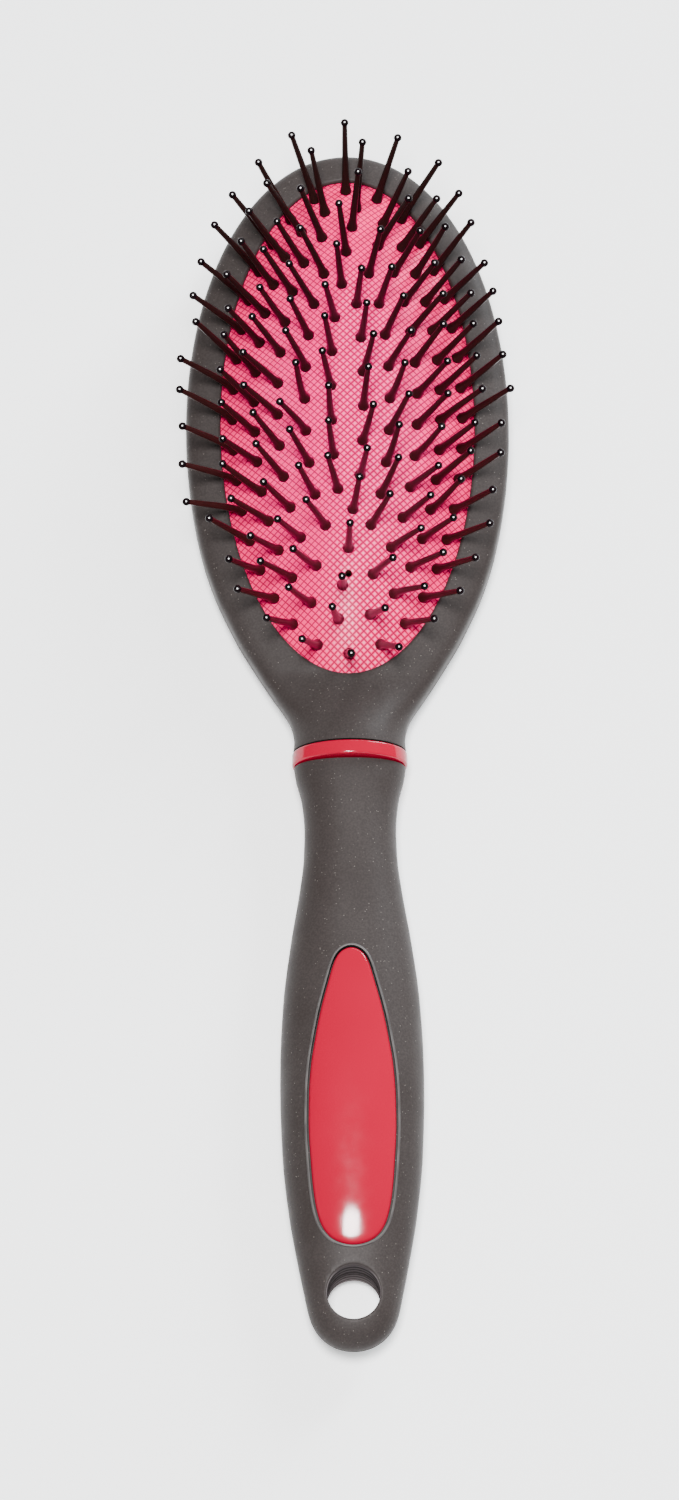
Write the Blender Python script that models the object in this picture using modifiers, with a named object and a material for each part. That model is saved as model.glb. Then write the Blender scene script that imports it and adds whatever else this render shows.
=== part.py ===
"""Oval cushion hair brush, lying on its back with the pins up.

Metres, +Z up. Y runs along the brush with the head towards +Y, X across it.
The origin is on the surface that the brush lies on, under its middle.
"""
import math

import bmesh
import bpy
from mathutils import Matrix, Quaternion, Vector

# Clearances and cutting
GAP = 0.0003
OVERRUN = 0.002

# Pad opening in the head, and the frame round it
PAD_HALF_WIDTH = 0.0242
PAD_HALF_LENGTH = 0.0509
PAD_END_SHARE = 1.26
FRAME_SIDE = 0.0067
FRAME_END = 0.0064
FRAME_FOOT = 0.0091
NECK_RUN = 0.0146
HEAD_TOP_POWER = 2.05
HEAD_FLANK_SHARES = (
    (0.00, 1.000), (0.05, 0.998), (0.15, 0.978), (0.27, 0.929), (0.40, 0.844),
    (0.52, 0.721), (0.60, 0.608), (0.66, 0.515), (0.72, 0.405), (0.78, 0.288),
    (0.83, 0.187), (0.88, 0.085), (0.91, 0.033), (0.94, 0.003), (0.97, -0.009),
    (1.00, 0.000),
)

# Head in height: flat back at zero, seam between its two shells, front face
HEAD_SEAM_Z = 0.0070
HEAD_FRONT_RISE = 0.0064
HEAD_BACK_OVERFLOW = 0.0002
HEAD_FRONT_POWER = 6.0
HEAD_BACK_POWER = 2.4
BACK_COVER_FLOOR = 0.0020
BACK_COVER_LEDGE = 0.0016
CHAMBER_FLOOR_SHARE = 0.70

# Neck, accent ring and the core that joins head and handle
NECK_AXIS_Z = 0.0086
RING_HALF_WIDTH = 0.01085
RING_HALF_THICKNESS = 0.0084
RING_LENGTH = 0.0027
RING_EDGE = 0.0004
RING_PROUD = 0.00025
CORE_HALF_WIDTH = 0.0058
CORE_HALF_THICKNESS = 0.0038
CORE_CORNER = 0.0012
CORE_IN_HEAD = 0.0075
CORE_IN_HANDLE = 0.0210

# Handle
HANDLE_LENGTH = 0.1119
HANDLE_HALF_WIDTH = 0.01325
HANDLE_FRONT_RISE = 0.0082
HANDLE_BACK_DROP = 0.0086
HANDLE_POWER = 2.2
HANDLE_END_SHARE = 0.905
HANDLE_WIDTH_SHARES = (
    (0.00, 0.790), (0.02, 0.766), (0.06, 0.682), (0.11, 0.646), (0.16, 0.659),
    (0.21, 0.710), (0.31, 0.847), (0.41, 0.952), (0.51, 0.996), (0.56, 1.000),
    (0.67, 0.972), (0.77, 0.887), (0.87, 0.741), (0.93, 0.645), (1.00, 0.585),
)
HANDLE_FRONT_SHARES = (
    (0.00, 0.800), (0.12, 0.775), (0.30, 0.880), (0.55, 1.000), (0.75, 0.860),
    (0.90, 0.660), (1.00, 0.560),
)
HANDLE_BACK_SHARES = (
    (0.00, 0.860), (0.12, 0.760), (0.30, 0.880), (0.55, 1.000), (0.75, 0.880),
    (0.90, 0.680), (1.00, 0.560),
)

# Glossy insert in the front of the handle
INSERT_LENGTH = 0.0560
INSERT_HALF_WIDTH = 0.0080
INSERT_TOP = 0.0373
INSERT_FLOOR_RISE = 0.0055
INSERT_SHARES = (
    (0.00, 0.00), (0.11, 0.33), (0.23, 0.55), (0.31, 0.72), (0.38, 0.85), (0.44, 0.945),
    (0.50, 0.99), (0.56, 1.00), (0.65, 0.955), (0.73, 0.89), (0.81, 0.775), (0.885, 0.565),
    (1.00, 0.00),
)

# Hole that the brush hangs on
HOLE_RADIUS = 0.0048
HOLE_LIP = 0.0012
HOLE_TO_END = 0.0099

# Cushion: an inflated membrane clamped under the lip of the frame
LIP_THICKNESS = 0.0016
CUSHION_CLAMP = 0.0014
CUSHION_FLANGE = 0.0015
CUSHION_COLLAR = 0.0005
CUSHION_THICKNESS = 0.0014
CUSHION_CROWN = 0.0074
CROWN_SHIFT = 0.0030
TRAY_DEPTH = 0.0015
TRAY_WALL = 0.0018
VENT_RADIUS = 0.0005
VENT_OVAL_SHARE = 0.48

# Pins: ball tipped, on conical feet, in five ovals; a few of the outer oval lean further out
PIN_LENGTH = 0.0171
PIN_ROOT = 0.0008
PIN_FOOT_RADIUS = 0.0010
PIN_FOOT_HEIGHT = 0.0014
PIN_SHAFT_RADIUS = 0.00046
PIN_TIP_RADIUS = 0.00034
PIN_BALL_RADIUS = 0.00074
PIN_SIDES = 4
PIN_OVAL_SHARES = (0.899, 0.730, 0.547, 0.333, 0.127)
PIN_START_SHARES = (0, 0.32, 0.18, 0, 0.80)
PIN_COUNTS = (36, 32, 26, 20, 14)
LEANING_PINS = (24, 25, 26, 27, 28)
LEAN = math.radians(6)

# Facets
OVAL_STEPS = 40
PRISM_STEPS = 72
SECTION_STEPS = 32
NECK_STEPS = 10
FOOT_STEPS = 9
TOP_STEPS = 15
HANDLE_STEPS = 30
ARC_SAMPLES = 1440

# Heights and places that follow from the sizes above
HEAD_HALF_WIDTH = PAD_HALF_WIDTH + FRAME_SIDE
HEAD_TOP_REACH = PAD_HALF_LENGTH + FRAME_END
HEAD_FOOT_REACH = PAD_HALF_LENGTH + FRAME_FOOT
HEAD_LENGTH = NECK_RUN + PAD_HALF_LENGTH + HEAD_TOP_REACH
LENGTH = HEAD_LENGTH + HANDLE_LENGTH + RING_LENGTH + 2 * GAP
HANDLE_END_Y = -LENGTH / 2
HANDLE_TOP_Y = HANDLE_END_Y + HANDLE_LENGTH
RING_FOOT_Y = HANDLE_TOP_Y + GAP
RING_TOP_Y = RING_FOOT_Y + RING_LENGTH
HEAD_FOOT_Y = RING_TOP_Y + GAP
PAD_CENTRE_Y = HEAD_FOOT_Y + NECK_RUN + PAD_HALF_LENGTH
HOLE_Y = HANDLE_END_Y + HOLE_TO_END
HEAD_FRONT_Z = HEAD_SEAM_Z + HEAD_FRONT_RISE
LIP_UNDER_Z = HEAD_FRONT_Z - LIP_THICKNESS
CUSHION_RIM_Z = LIP_UNDER_Z - GAP
FLANGE_UNDER_Z = CUSHION_RIM_Z - CUSHION_FLANGE
TRAY_TOP_Z = FLANGE_UNDER_Z - GAP
TRAY_UNDER_Z = HEAD_SEAM_Z
RECESS_HALF_WIDTH = PAD_HALF_WIDTH + CUSHION_CLAMP + GAP
CLAMP_HALF_WIDTH = PAD_HALF_WIDTH + CUSHION_CLAMP
COLLAR_OUTSIDE = PAD_HALF_WIDTH - GAP
COLLAR_INSIDE = COLLAR_OUTSIDE - CUSHION_COLLAR
NECK_HALF_WIDTH = RING_HALF_WIDTH - RING_PROUD
NECK_HALF_THICKNESS = RING_HALF_THICKNESS - RING_PROUD


def clear_scene():
    for obj in list(bpy.data.objects):
        bpy.data.objects.remove(obj, do_unlink=True)
    for collection in list(bpy.data.collections):
        bpy.data.collections.remove(collection)


def new_collection(name):
    collection = bpy.data.collections.new(name)
    bpy.context.scene.collection.children.link(collection)
    return collection


def make_material(name, color, roughness, metallic=0.0):
    material = bpy.data.materials.new(name)
    material.use_nodes = True
    shader = material.node_tree.nodes["Principled BSDF"]
    shader.inputs["Base Color"].default_value = (*color, 1.0)
    shader.inputs["Roughness"].default_value = roughness
    shader.inputs["Metallic"].default_value = metallic
    return material


def add_object(name, mesh, collection, material=None):
    obj = bpy.data.objects.new(name, mesh)
    collection.objects.link(obj)
    if material is not None:
        mesh.materials.clear()
        mesh.materials.append(material)
    return obj


def mesh_from_bmesh(name, bm):
    bmesh.ops.recalc_face_normals(bm, faces=bm.faces)
    mesh = bpy.data.meshes.new(name)
    bm.to_mesh(mesh)
    bm.free()
    return mesh


def as_cutter(obj):
    obj.hide_render = True
    obj.display_type = "WIRE"
    return obj


def combine(obj, other, operation):
    """Add an exact Boolean of obj with other."""
    modifier = obj.modifiers.new(f"{operation.lower()} {other.name}", "BOOLEAN")
    modifier.operation = operation
    modifier.solver = "EXACT"
    modifier.object = other


def shade(obj, angle=math.radians(40)):
    obj.data.shade_smooth()
    obj.data.set_sharp_from_angle(angle=angle)


def eased(table, share):
    """Read a smooth curve through a table of shares, with no overshoot."""
    places = [place for place, _ in table]
    values = [value for _, value in table]
    slopes = [(values[i + 1] - values[i]) / (places[i + 1] - places[i]) for i in range(len(table) - 1)]
    tangents = [slopes[0]]
    for before, after in zip(slopes, slopes[1:]):
        together = before * after
        tangents.append(2 * together / (before + after) if together > 0 else 0)
    tangents.append(slopes[-1])
    share = min(max(share, places[0]), places[-1])
    i = max(k for k in range(len(slopes)) if places[k] <= share)
    run = places[i + 1] - places[i]
    t = (share - places[i]) / run
    rise = values[i + 1] - values[i]
    start = tangents[i] * run
    end = tangents[i + 1] * run
    return values[i] + t * start + t * t * (3 * rise - 2 * start - end) + t ** 3 * (start + end - 2 * rise)


def smooth_step(low, high, value):
    t = min(max((value - low) / (high - low), 0), 1)
    return t * t * (3 - 2 * t)


def loft(name, sections):
    """Skin a list of closed sections; a section of one point closes an end."""
    bm = bmesh.new()
    rings = [[bm.verts.new(point) for point in section] for section in sections]
    for lower, upper in zip(rings, rings[1:]):
        count = max(len(lower), len(upper))
        for i in range(count):
            j = (i + 1) % count
            corners = [lower[i % len(lower)], lower[j % len(lower)]]
            corners += [upper[j % len(upper)], upper[i % len(upper)]]
            bm.faces.new(list(dict.fromkeys(corners)))
    for ring in (rings[0], rings[-1]):
        if len(ring) > 1:
            bm.faces.new(ring)
    return mesh_from_bmesh(name, bm)


def oval_half_length(half_width):
    """The ovals of the pad share one rule, so they stay parallel round the ends."""
    return PAD_HALF_LENGTH - PAD_END_SHARE * (PAD_HALF_WIDTH - half_width)


def oval_centre(half_width):
    """The crown of the cushion sits a little towards the top, and its ovals lead up to it."""
    return PAD_CENTRE_Y + CROWN_SHIFT * max(1 - (half_width / PAD_HALF_WIDTH) ** 2, 0)


def oval_points(half_width, z, steps):
    half_length = oval_half_length(half_width)
    centre = oval_centre(half_width)
    turn = 2 * math.pi / steps
    return [
        Vector((half_width * math.sin(i * turn), centre + half_length * math.cos(i * turn), z))
        for i in range(steps)
    ]


def oval_prism(name, half_width, low, high, collection, foot_share=1):
    """An upright oval block from a unit cylinder, drawn in at its foot by a share."""
    bm = bmesh.new()
    bmesh.ops.create_cone(bm, cap_ends=True, segments=PRISM_STEPS, radius1=foot_share, radius2=1, depth=1)
    size = Matrix.Diagonal((half_width, oval_half_length(half_width), high - low, 1))
    place = Matrix.Translation((0, PAD_CENTRE_Y, (low + high) / 2))
    bm.transform(place @ size)
    return add_object(name, mesh_from_bmesh(name, bm), collection)


def slab(name, low, high, collection):
    """A block as wide and long as the brush, between two heights."""
    bm = bmesh.new()
    bmesh.ops.create_cube(bm, size=1)
    size = Matrix.Diagonal((2 * HEAD_HALF_WIDTH + OVERRUN, LENGTH + OVERRUN, high - low, 1))
    place = Matrix.Translation((0, 0, (low + high) / 2))
    bm.transform(place @ size)
    return as_cutter(add_object(name, mesh_from_bmesh(name, bm), collection))


def dome_height(half_width):
    """Height of the inflated cushion on one of its level ovals."""
    return CUSHION_RIM_Z + CUSHION_CROWN * (1 - (half_width / PAD_HALF_WIDTH) ** 2)


def dome_normal(half_width, x, y):
    """Direction square to the cushion at a point of one of its level ovals."""
    half_length = oval_half_length(half_width)
    from_centre = y - oval_centre(half_width)
    across = x / half_width ** 2
    along = from_centre / half_length ** 2
    fall = 2 * half_width / PAD_HALF_WIDTH ** 2
    spread = x * across / half_width + PAD_END_SHARE * from_centre * along / half_length
    spread -= CROWN_SHIFT * fall * along
    slope = CUSHION_CROWN * fall / spread
    return Vector((slope * across, slope * along, 1)).normalized()


def head_half_width(y):
    """Outline of the head: round over the top, and drawn in from its middle to the neck."""
    if y > PAD_CENTRE_Y:
        share = min((y - PAD_CENTRE_Y) / HEAD_TOP_REACH, 1)
        return HEAD_HALF_WIDTH * (1 - share ** HEAD_TOP_POWER) ** (1 / HEAD_TOP_POWER)
    share = (PAD_CENTRE_Y - y) / (PAD_CENTRE_Y - HEAD_FOOT_Y)
    return NECK_HALF_WIDTH + (HEAD_HALF_WIDTH - NECK_HALF_WIDTH) * eased(HEAD_FLANK_SHARES, share)


def head_section(y):
    """One closed section of the head: flat fronted at the pad, round at the neck."""
    half_width = head_half_width(y)
    head = smooth_step(HEAD_FOOT_Y, HEAD_FOOT_Y + NECK_RUN, y)
    reach = HEAD_TOP_REACH if y > PAD_CENTRE_Y else HEAD_FOOT_REACH
    along = min(abs(y - PAD_CENTRE_Y) / reach, 1)
    if y < PAD_CENTRE_Y:
        along = min(along, PAD_HALF_LENGTH / HEAD_FOOT_REACH)
    bend = HEAD_TOP_POWER if y > PAD_CENTRE_Y else 2
    middle = NECK_AXIS_Z + head * (HEAD_SEAM_Z - NECK_AXIS_Z)
    points = []
    for i in range(SECTION_STEPS):
        turn = 2 * math.pi * i / SECTION_STEPS
        front = math.sin(turn) >= 0
        power = HEAD_FRONT_POWER if front else HEAD_BACK_POWER
        rise = HEAD_FRONT_RISE if front else -(HEAD_SEAM_Z + HEAD_BACK_OVERFLOW)
        neck_rise = NECK_HALF_THICKNESS if front else -NECK_HALF_THICKNESS
        spread = 2 / (2 + head * (power - 2))
        across = abs(math.cos(turn)) ** spread
        if i in (SECTION_STEPS // 4, 3 * SECTION_STEPS // 4):
            across = 0
        from_centre = min(((1 - along ** bend) * across ** bend + along ** bend) ** (1 / bend), 1)
        z = head * rise * (1 - from_centre ** power) ** (1 / power)
        z += (1 - head) * neck_rise * math.sqrt(1 - across ** 2)
        points.append(Vector((math.copysign(across, math.cos(turn)) * half_width, y, middle + z)))
    return points


def head_stations():
    """Places of the head's sections, closest together at the neck and at the round top."""
    flare = HEAD_FOOT_Y + NECK_RUN + FRAME_FOOT
    stations = [HEAD_FOOT_Y + (flare - HEAD_FOOT_Y) * i / NECK_STEPS for i in range(NECK_STEPS)]
    stations += [flare + (PAD_CENTRE_Y - flare) * i / FOOT_STEPS for i in range(FOOT_STEPS)]
    quarter = math.pi / 2
    stations += [PAD_CENTRE_Y + HEAD_TOP_REACH * math.sin(quarter * i / TOP_STEPS) for i in range(TOP_STEPS)]
    return stations


def head_envelope(name):
    tip = [Vector((0, PAD_CENTRE_Y + HEAD_TOP_REACH, HEAD_SEAM_Z))]
    return loft(name, [head_section(y) for y in head_stations()] + [tip])


def handle_end_factor(share):
    """Rounds the free end of the handle; 1 on the rest of it."""
    t = max(share - HANDLE_END_SHARE, 0) / (1 - HANDLE_END_SHARE)
    return math.sqrt(max(1 - t ** 3, 0))


def handle_section(share):
    end = handle_end_factor(share)
    half_width = HANDLE_HALF_WIDTH * eased(HANDLE_WIDTH_SHARES, share) * end
    front = HANDLE_FRONT_RISE * eased(HANDLE_FRONT_SHARES, share) * end
    back = HANDLE_BACK_DROP * eased(HANDLE_BACK_SHARES, share) * end
    points = []
    for i in range(SECTION_STEPS):
        turn = 2 * math.pi * i / SECTION_STEPS
        across = math.copysign(abs(math.cos(turn)) ** (2 / HANDLE_POWER), math.cos(turn))
        up = abs(math.sin(turn)) ** (2 / HANDLE_POWER)
        z = NECK_AXIS_Z + up * (front if math.sin(turn) >= 0 else -back)
        points.append(Vector((across * half_width, HANDLE_TOP_Y - share * HANDLE_LENGTH, z)))
    return points


def handle_envelope(name):
    straight = HANDLE_STEPS * 2 // 3
    shares = [HANDLE_END_SHARE * i / straight for i in range(straight)]
    rounded = HANDLE_STEPS - straight
    quarter = math.pi / 2
    end_share = 1 - HANDLE_END_SHARE
    shares += [HANDLE_END_SHARE + end_share * math.sin(quarter * i / rounded) for i in range(rounded)]
    tip = [Vector((0, HANDLE_END_Y, NECK_AXIS_Z))]
    return loft(name, [handle_section(share) for share in shares] + [tip])


def insert_prism(name, clearance, floor, collection):
    """Teardrop outline of the insert as a closed curve, raised into a block.

    Its widths are told by share of a half turn, from the top to the foot, so both ends are round.
    """
    top_y = HANDLE_TOP_Y - INSERT_TOP
    steps = PRISM_STEPS // 2
    rows = []
    for i in range(steps + 1):
        share = (1 - math.cos(math.pi * i / steps)) / 2
        rows.append((share, INSERT_HALF_WIDTH * eased(INSERT_SHARES, i / steps)))
    middle_y = top_y - INSERT_LENGTH / 2
    half_length = INSERT_LENGTH / 2
    outline = [(width, top_y - share * INSERT_LENGTH) for share, width in rows]
    outline += [(-x, y) for x, y in outline[-2:0:-1]]
    grown = []
    for x, y in outline:
        reach = math.hypot(x / INSERT_HALF_WIDTH, (y - middle_y) / half_length)
        side = x / INSERT_HALF_WIDTH / reach
        end = (y - middle_y) / half_length / reach
        grown.append((x + clearance * side, y + clearance * end))
    curve = bpy.data.curves.new(name, "CURVE")
    curve.dimensions = "2D"
    curve.fill_mode = "BOTH"
    ceiling = NECK_AXIS_Z + HANDLE_FRONT_RISE + OVERRUN
    curve.extrude = (ceiling - floor) / 2
    spline = curve.splines.new("POLY")
    spline.points.add(len(grown) - 1)
    spline.use_cyclic_u = True
    for point, (x, y) in zip(spline.points, grown):
        point.co = (x, y, 0, 1)
    holder = bpy.data.objects.new(f"{name}_curve", curve)
    collection.objects.link(holder)
    bpy.context.view_layer.update()
    evaluated = holder.evaluated_get(bpy.context.evaluated_depsgraph_get())
    bm = bmesh.new()
    bm.from_mesh(bpy.data.meshes.new_from_object(evaluated))
    bmesh.ops.remove_doubles(bm, verts=bm.verts, dist=GAP / 100)
    bm.transform(Matrix.Translation((0, 0, (ceiling + floor) / 2)))
    bpy.data.objects.remove(holder, do_unlink=True)
    return add_object(name, mesh_from_bmesh(name, bm), collection)


def turned_cutter(name, profile, collection):
    """Turn a profile of (radius, height) about the hole's axis."""
    mesh = bpy.data.meshes.new(name)
    points = [(radius, 0, z) for radius, z in profile]
    mesh.from_pydata(points, [(i, i + 1) for i in range(len(points) - 1)], [])
    obj = add_object(name, mesh, collection)
    screw = obj.modifiers.new("turn", "SCREW")
    screw.steps = PRISM_STEPS // 2
    screw.render_steps = PRISM_STEPS // 2
    screw.use_merge_vertices = True
    screw.merge_threshold = 0.00001
    obj.location = (0, HOLE_Y, 0)
    return as_cutter(obj)


def hole_cutter(collection):
    """Straight hole whose two mouths open out in a rounded lip."""
    front = NECK_AXIS_Z + HANDLE_FRONT_RISE * eased(HANDLE_FRONT_SHARES, 1 - HOLE_TO_END / HANDLE_LENGTH)
    back = NECK_AXIS_Z - HANDLE_BACK_DROP * eased(HANDLE_BACK_SHARES, 1 - HOLE_TO_END / HANDLE_LENGTH)
    turns = [math.pi / 6 * i for i in range(4)]
    upper = [
        (HOLE_RADIUS + HOLE_LIP * (1 - math.cos(turn)), front - HOLE_LIP * (1 - math.sin(turn)))
        for turn in turns
    ]
    lower = [(radius, back + front - z) for radius, z in reversed(upper)]
    mouth = HOLE_RADIUS + HOLE_LIP
    profile = [(0, front + OVERRUN), (mouth, front + OVERRUN)] + upper[::-1]
    profile += lower[::-1] + [(mouth, back - OVERRUN), (0, back - OVERRUN)]
    return turned_cutter("hole_cutter", profile, collection)


def core_bar(name, clearance, collection):
    """The bar of the neck core with rounded corners, or its clearance hole."""
    bm = bmesh.new()
    bmesh.ops.create_cube(bm, size=1)
    low = HANDLE_TOP_Y - CORE_IN_HANDLE - clearance
    high = HEAD_FOOT_Y + CORE_IN_HEAD + clearance
    width = 2 * (CORE_HALF_WIDTH + clearance)
    height = 2 * (CORE_HALF_THICKNESS + clearance)
    size = Matrix.Diagonal((width, high - low, height, 1))
    bm.transform(Matrix.Translation((0, (low + high) / 2, NECK_AXIS_Z)) @ size)
    edges = [edge for edge in bm.edges if abs(edge.verts[0].co.y - edge.verts[1].co.y) > CORE_IN_HEAD]
    bmesh.ops.bevel(bm, geom=edges, offset=CORE_CORNER, segments=3, profile=0.5, affect="EDGES")
    return add_object(name, mesh_from_bmesh(name, bm), collection)


def cushion_band(name, section, collection):
    """Sweep a closed section of (half width, height) points round the pad's ovals."""
    bm = bmesh.new()
    rings = [[bm.verts.new(point) for point in oval_points(a, z, OVAL_STEPS)] for a, z in section]
    for ring, following in zip(rings, rings[1:] + rings[:1]):
        for i in range(OVAL_STEPS):
            j = (i + 1) % OVAL_STEPS
            bm.faces.new((ring[i], ring[j], following[j], following[i]))
    return add_object(name, mesh_from_bmesh(name, bm), collection)


def cushion_middle(name, outside, collection):
    """The innermost slice of the cushion: a long low mound over the pad's middle line."""
    foot = dome_height(outside)
    sections = [oval_points(outside, foot - CUSHION_THICKNESS, OVAL_STEPS)]
    sections += [oval_points(a, dome_height(a), OVAL_STEPS) for a in (outside, outside / 3)]
    return add_object(name, loft(name, sections), collection)


def pin_mesh():
    """One pin standing on the origin: conical foot, tapered shaft, ball tip."""
    ball = PIN_LENGTH - PIN_BALL_RADIUS
    profile = [
        (0, PIN_LENGTH), (PIN_BALL_RADIUS * 0.7, PIN_LENGTH - PIN_BALL_RADIUS * 0.3), (PIN_BALL_RADIUS, ball),
        (PIN_TIP_RADIUS, ball - PIN_BALL_RADIUS), (PIN_SHAFT_RADIUS, PIN_FOOT_HEIGHT),
        (PIN_FOOT_RADIUS, 0), (PIN_FOOT_RADIUS, -PIN_ROOT), (0, -PIN_ROOT),
    ]
    bm = bmesh.new()
    verts = [bm.verts.new((radius, 0, z)) for radius, z in profile]
    edges = [bm.edges.new(pair) for pair in zip(verts, verts[1:])]
    bmesh.ops.spin(bm, geom=verts + edges, axis=(0, 0, 1), cent=(0, 0, 0), angle=2 * math.pi,
                   steps=PIN_SIDES, use_merge=True)
    bmesh.ops.remove_doubles(bm, verts=bm.verts, dist=PIN_TIP_RADIUS / 10)
    return mesh_from_bmesh("pin", bm)


def pin_places(half_width, count, start):
    """Feet at equal steps round one oval, the first a share of a step past its top."""
    half_length = oval_half_length(half_width)
    centre = oval_centre(half_width)
    ways = [2 * math.pi * i / ARC_SAMPLES for i in range(ARC_SAMPLES + 1)]
    track = [(half_width * math.sin(t), half_length * math.cos(t)) for t in ways]
    travelled = [0]
    for before, after in zip(track, track[1:]):
        travelled.append(travelled[-1] + math.dist(before, after))
    places = []
    k = 0
    for i in range(count):
        wanted = travelled[-1] * (i + start) / count
        while travelled[k + 1] < wanted:
            k += 1
        part = (wanted - travelled[k]) / (travelled[k + 1] - travelled[k])
        t = ways[k] + part * (ways[k + 1] - ways[k])
        places.append((half_width * math.sin(t), centre + half_length * math.cos(t)))
    return places


def vent_cutter(half_width, collection):
    """Air hole through the cushion, where one of its ovals crosses the middle line towards the neck."""
    foot_y = oval_centre(half_width) - oval_half_length(half_width)
    bm = bmesh.new()
    depth = 2 * (CUSHION_THICKNESS + OVERRUN)
    bmesh.ops.create_cone(bm, cap_ends=True, segments=PRISM_STEPS // 9, radius1=VENT_RADIUS,
                          radius2=VENT_RADIUS, depth=depth)
    bm.transform(Matrix.Translation((0, foot_y, dome_height(half_width))))
    return as_cutter(add_object("vent_cutter", mesh_from_bmesh("vent_cutter", bm), collection))


def pin_group(name, half_width, places, leaning, template, collection):
    """All pins of one oval, each square to the cushion under it, or leaning out from there."""
    bm = bmesh.new()
    upright = Vector((0, 0, 1))
    for i, (x, y) in enumerate(places):
        direction = dome_normal(half_width, x, y)
        if i in leaning:
            direction = Quaternion(upright.cross(direction), LEAN) @ direction
        turn = upright.rotation_difference(direction).to_matrix().to_4x4()
        first = len(bm.verts)
        bm.from_mesh(template)
        bm.verts.ensure_lookup_table()
        place = Matrix.Translation((x, y, dome_height(half_width))) @ turn
        bmesh.ops.transform(bm, matrix=place, verts=bm.verts[first:])
    return as_cutter(add_object(name, mesh_from_bmesh(name, bm), collection))


def build_head(parts, cutters, soft_touch):
    front_slab = slab("head_front_slab", HEAD_SEAM_Z + GAP / 2, HEAD_FRONT_Z + HANDLE_FRONT_RISE, cutters)
    back_slab = slab("head_back_slab", 0, HEAD_SEAM_Z - GAP / 2, cutters)
    opening = as_cutter(oval_prism("opening_cutter", PAD_HALF_WIDTH, 0, HEAD_FRONT_Z + OVERRUN, cutters))
    recess = as_cutter(oval_prism("recess_cutter", RECESS_HALF_WIDTH, 0, LIP_UNDER_Z, cutters))
    chamber_half_width = CLAMP_HALF_WIDTH - BACK_COVER_LEDGE
    chamber = as_cutter(oval_prism("chamber_cutter", chamber_half_width, BACK_COVER_FLOOR,
                                   HEAD_SEAM_Z, cutters, CHAMBER_FLOOR_SHARE))
    core_hole = as_cutter(core_bar("core_hole_cutter", GAP, cutters))

    frame = add_object("head_frame", head_envelope("head_frame"), parts, soft_touch)
    combine(frame, front_slab, "INTERSECT")
    combine(frame, opening, "DIFFERENCE")
    combine(frame, recess, "DIFFERENCE")
    combine(frame, core_hole, "DIFFERENCE")
    shade(frame)

    cover = add_object("head_back_cover", head_envelope("head_back_cover"), parts, soft_touch)
    combine(cover, back_slab, "INTERSECT")
    combine(cover, chamber, "DIFFERENCE")
    combine(cover, core_hole, "DIFFERENCE")
    shade(cover)
    return core_hole


def build_tray(parts, cutters, material):
    low = TRAY_UNDER_Z + GAP / 2
    tray = oval_prism("cushion_tray", CLAMP_HALF_WIDTH, low, TRAY_TOP_Z, parts)
    tray.data.materials.append(material)
    hollow = oval_prism("tray_cutter", CLAMP_HALF_WIDTH - TRAY_WALL, low + TRAY_DEPTH,
                        TRAY_TOP_Z + OVERRUN, cutters)
    combine(tray, as_cutter(hollow), "DIFFERENCE")
    shade(tray)


def build_cushion(parts, cutters, rubber):
    section = [
        (COLLAR_INSIDE, FLANGE_UNDER_Z), (CLAMP_HALF_WIDTH, FLANGE_UNDER_Z), (CLAMP_HALF_WIDTH, CUSHION_RIM_Z),
        (COLLAR_OUTSIDE, CUSHION_RIM_Z), (COLLAR_OUTSIDE, dome_height(COLLAR_OUTSIDE)),
        (COLLAR_INSIDE, dome_height(COLLAR_INSIDE)),
    ]
    rim = cushion_band("cushion_rim", section, parts)
    rim.data.materials.append(rubber)
    shade(rim)

    template = pin_mesh()
    ovals = [PAD_HALF_WIDTH * share for share in PIN_OVAL_SHARES]
    edges = [COLLAR_INSIDE - GAP / 2] + [(outer + inner) / 2 for outer, inner in zip(ovals, ovals[1:])] + [0]
    vent = PAD_HALF_WIDTH * VENT_OVAL_SHARE
    for i, (oval, count, start) in enumerate(zip(ovals, PIN_COUNTS, PIN_START_SHARES)):
        name = f"pin_ring_{i + 1}"
        outside = edges[i] - GAP / 2
        if i + 1 < len(ovals):
            inside = edges[i + 1] + GAP / 2
            top = [(a, dome_height(a)) for a in (outside, inside)]
            under = [(a, dome_height(a) - CUSHION_THICKNESS) for a in (inside, outside)]
            band = cushion_band(name, top + under, parts)
        else:
            band = cushion_middle(name, outside, parts)
        band.data.materials.append(rubber)
        leaning = () if i else LEANING_PINS
        pins = pin_group(f"{name}_pins", oval, pin_places(oval, count, start), leaning, template, cutters)
        combine(band, pins, "UNION")
        if edges[i] > vent > edges[i + 1]:
            combine(band, vent_cutter(vent, cutters), "DIFFERENCE")
        shade(band)
    bpy.data.meshes.remove(template)


def build_neck(parts, core_hole, accent, core_material):
    sections = []
    for y, inset in ((RING_FOOT_Y, RING_EDGE), (RING_FOOT_Y + RING_EDGE, 0),
                     (RING_TOP_Y - RING_EDGE, 0), (RING_TOP_Y, RING_EDGE)):
        turn = 2 * math.pi / PRISM_STEPS
        sections.append([
            Vector(((RING_HALF_WIDTH - inset) * math.cos(i * turn), y,
                    NECK_AXIS_Z + (RING_HALF_THICKNESS - inset) * math.sin(i * turn)))
            for i in range(PRISM_STEPS)
        ])
    ring = add_object("accent_ring", loft("accent_ring", sections), parts, accent)
    combine(ring, core_hole, "DIFFERENCE")
    shade(ring)
    core = core_bar("neck_core", 0, parts)
    core.data.materials.append(core_material)
    shade(core)


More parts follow.
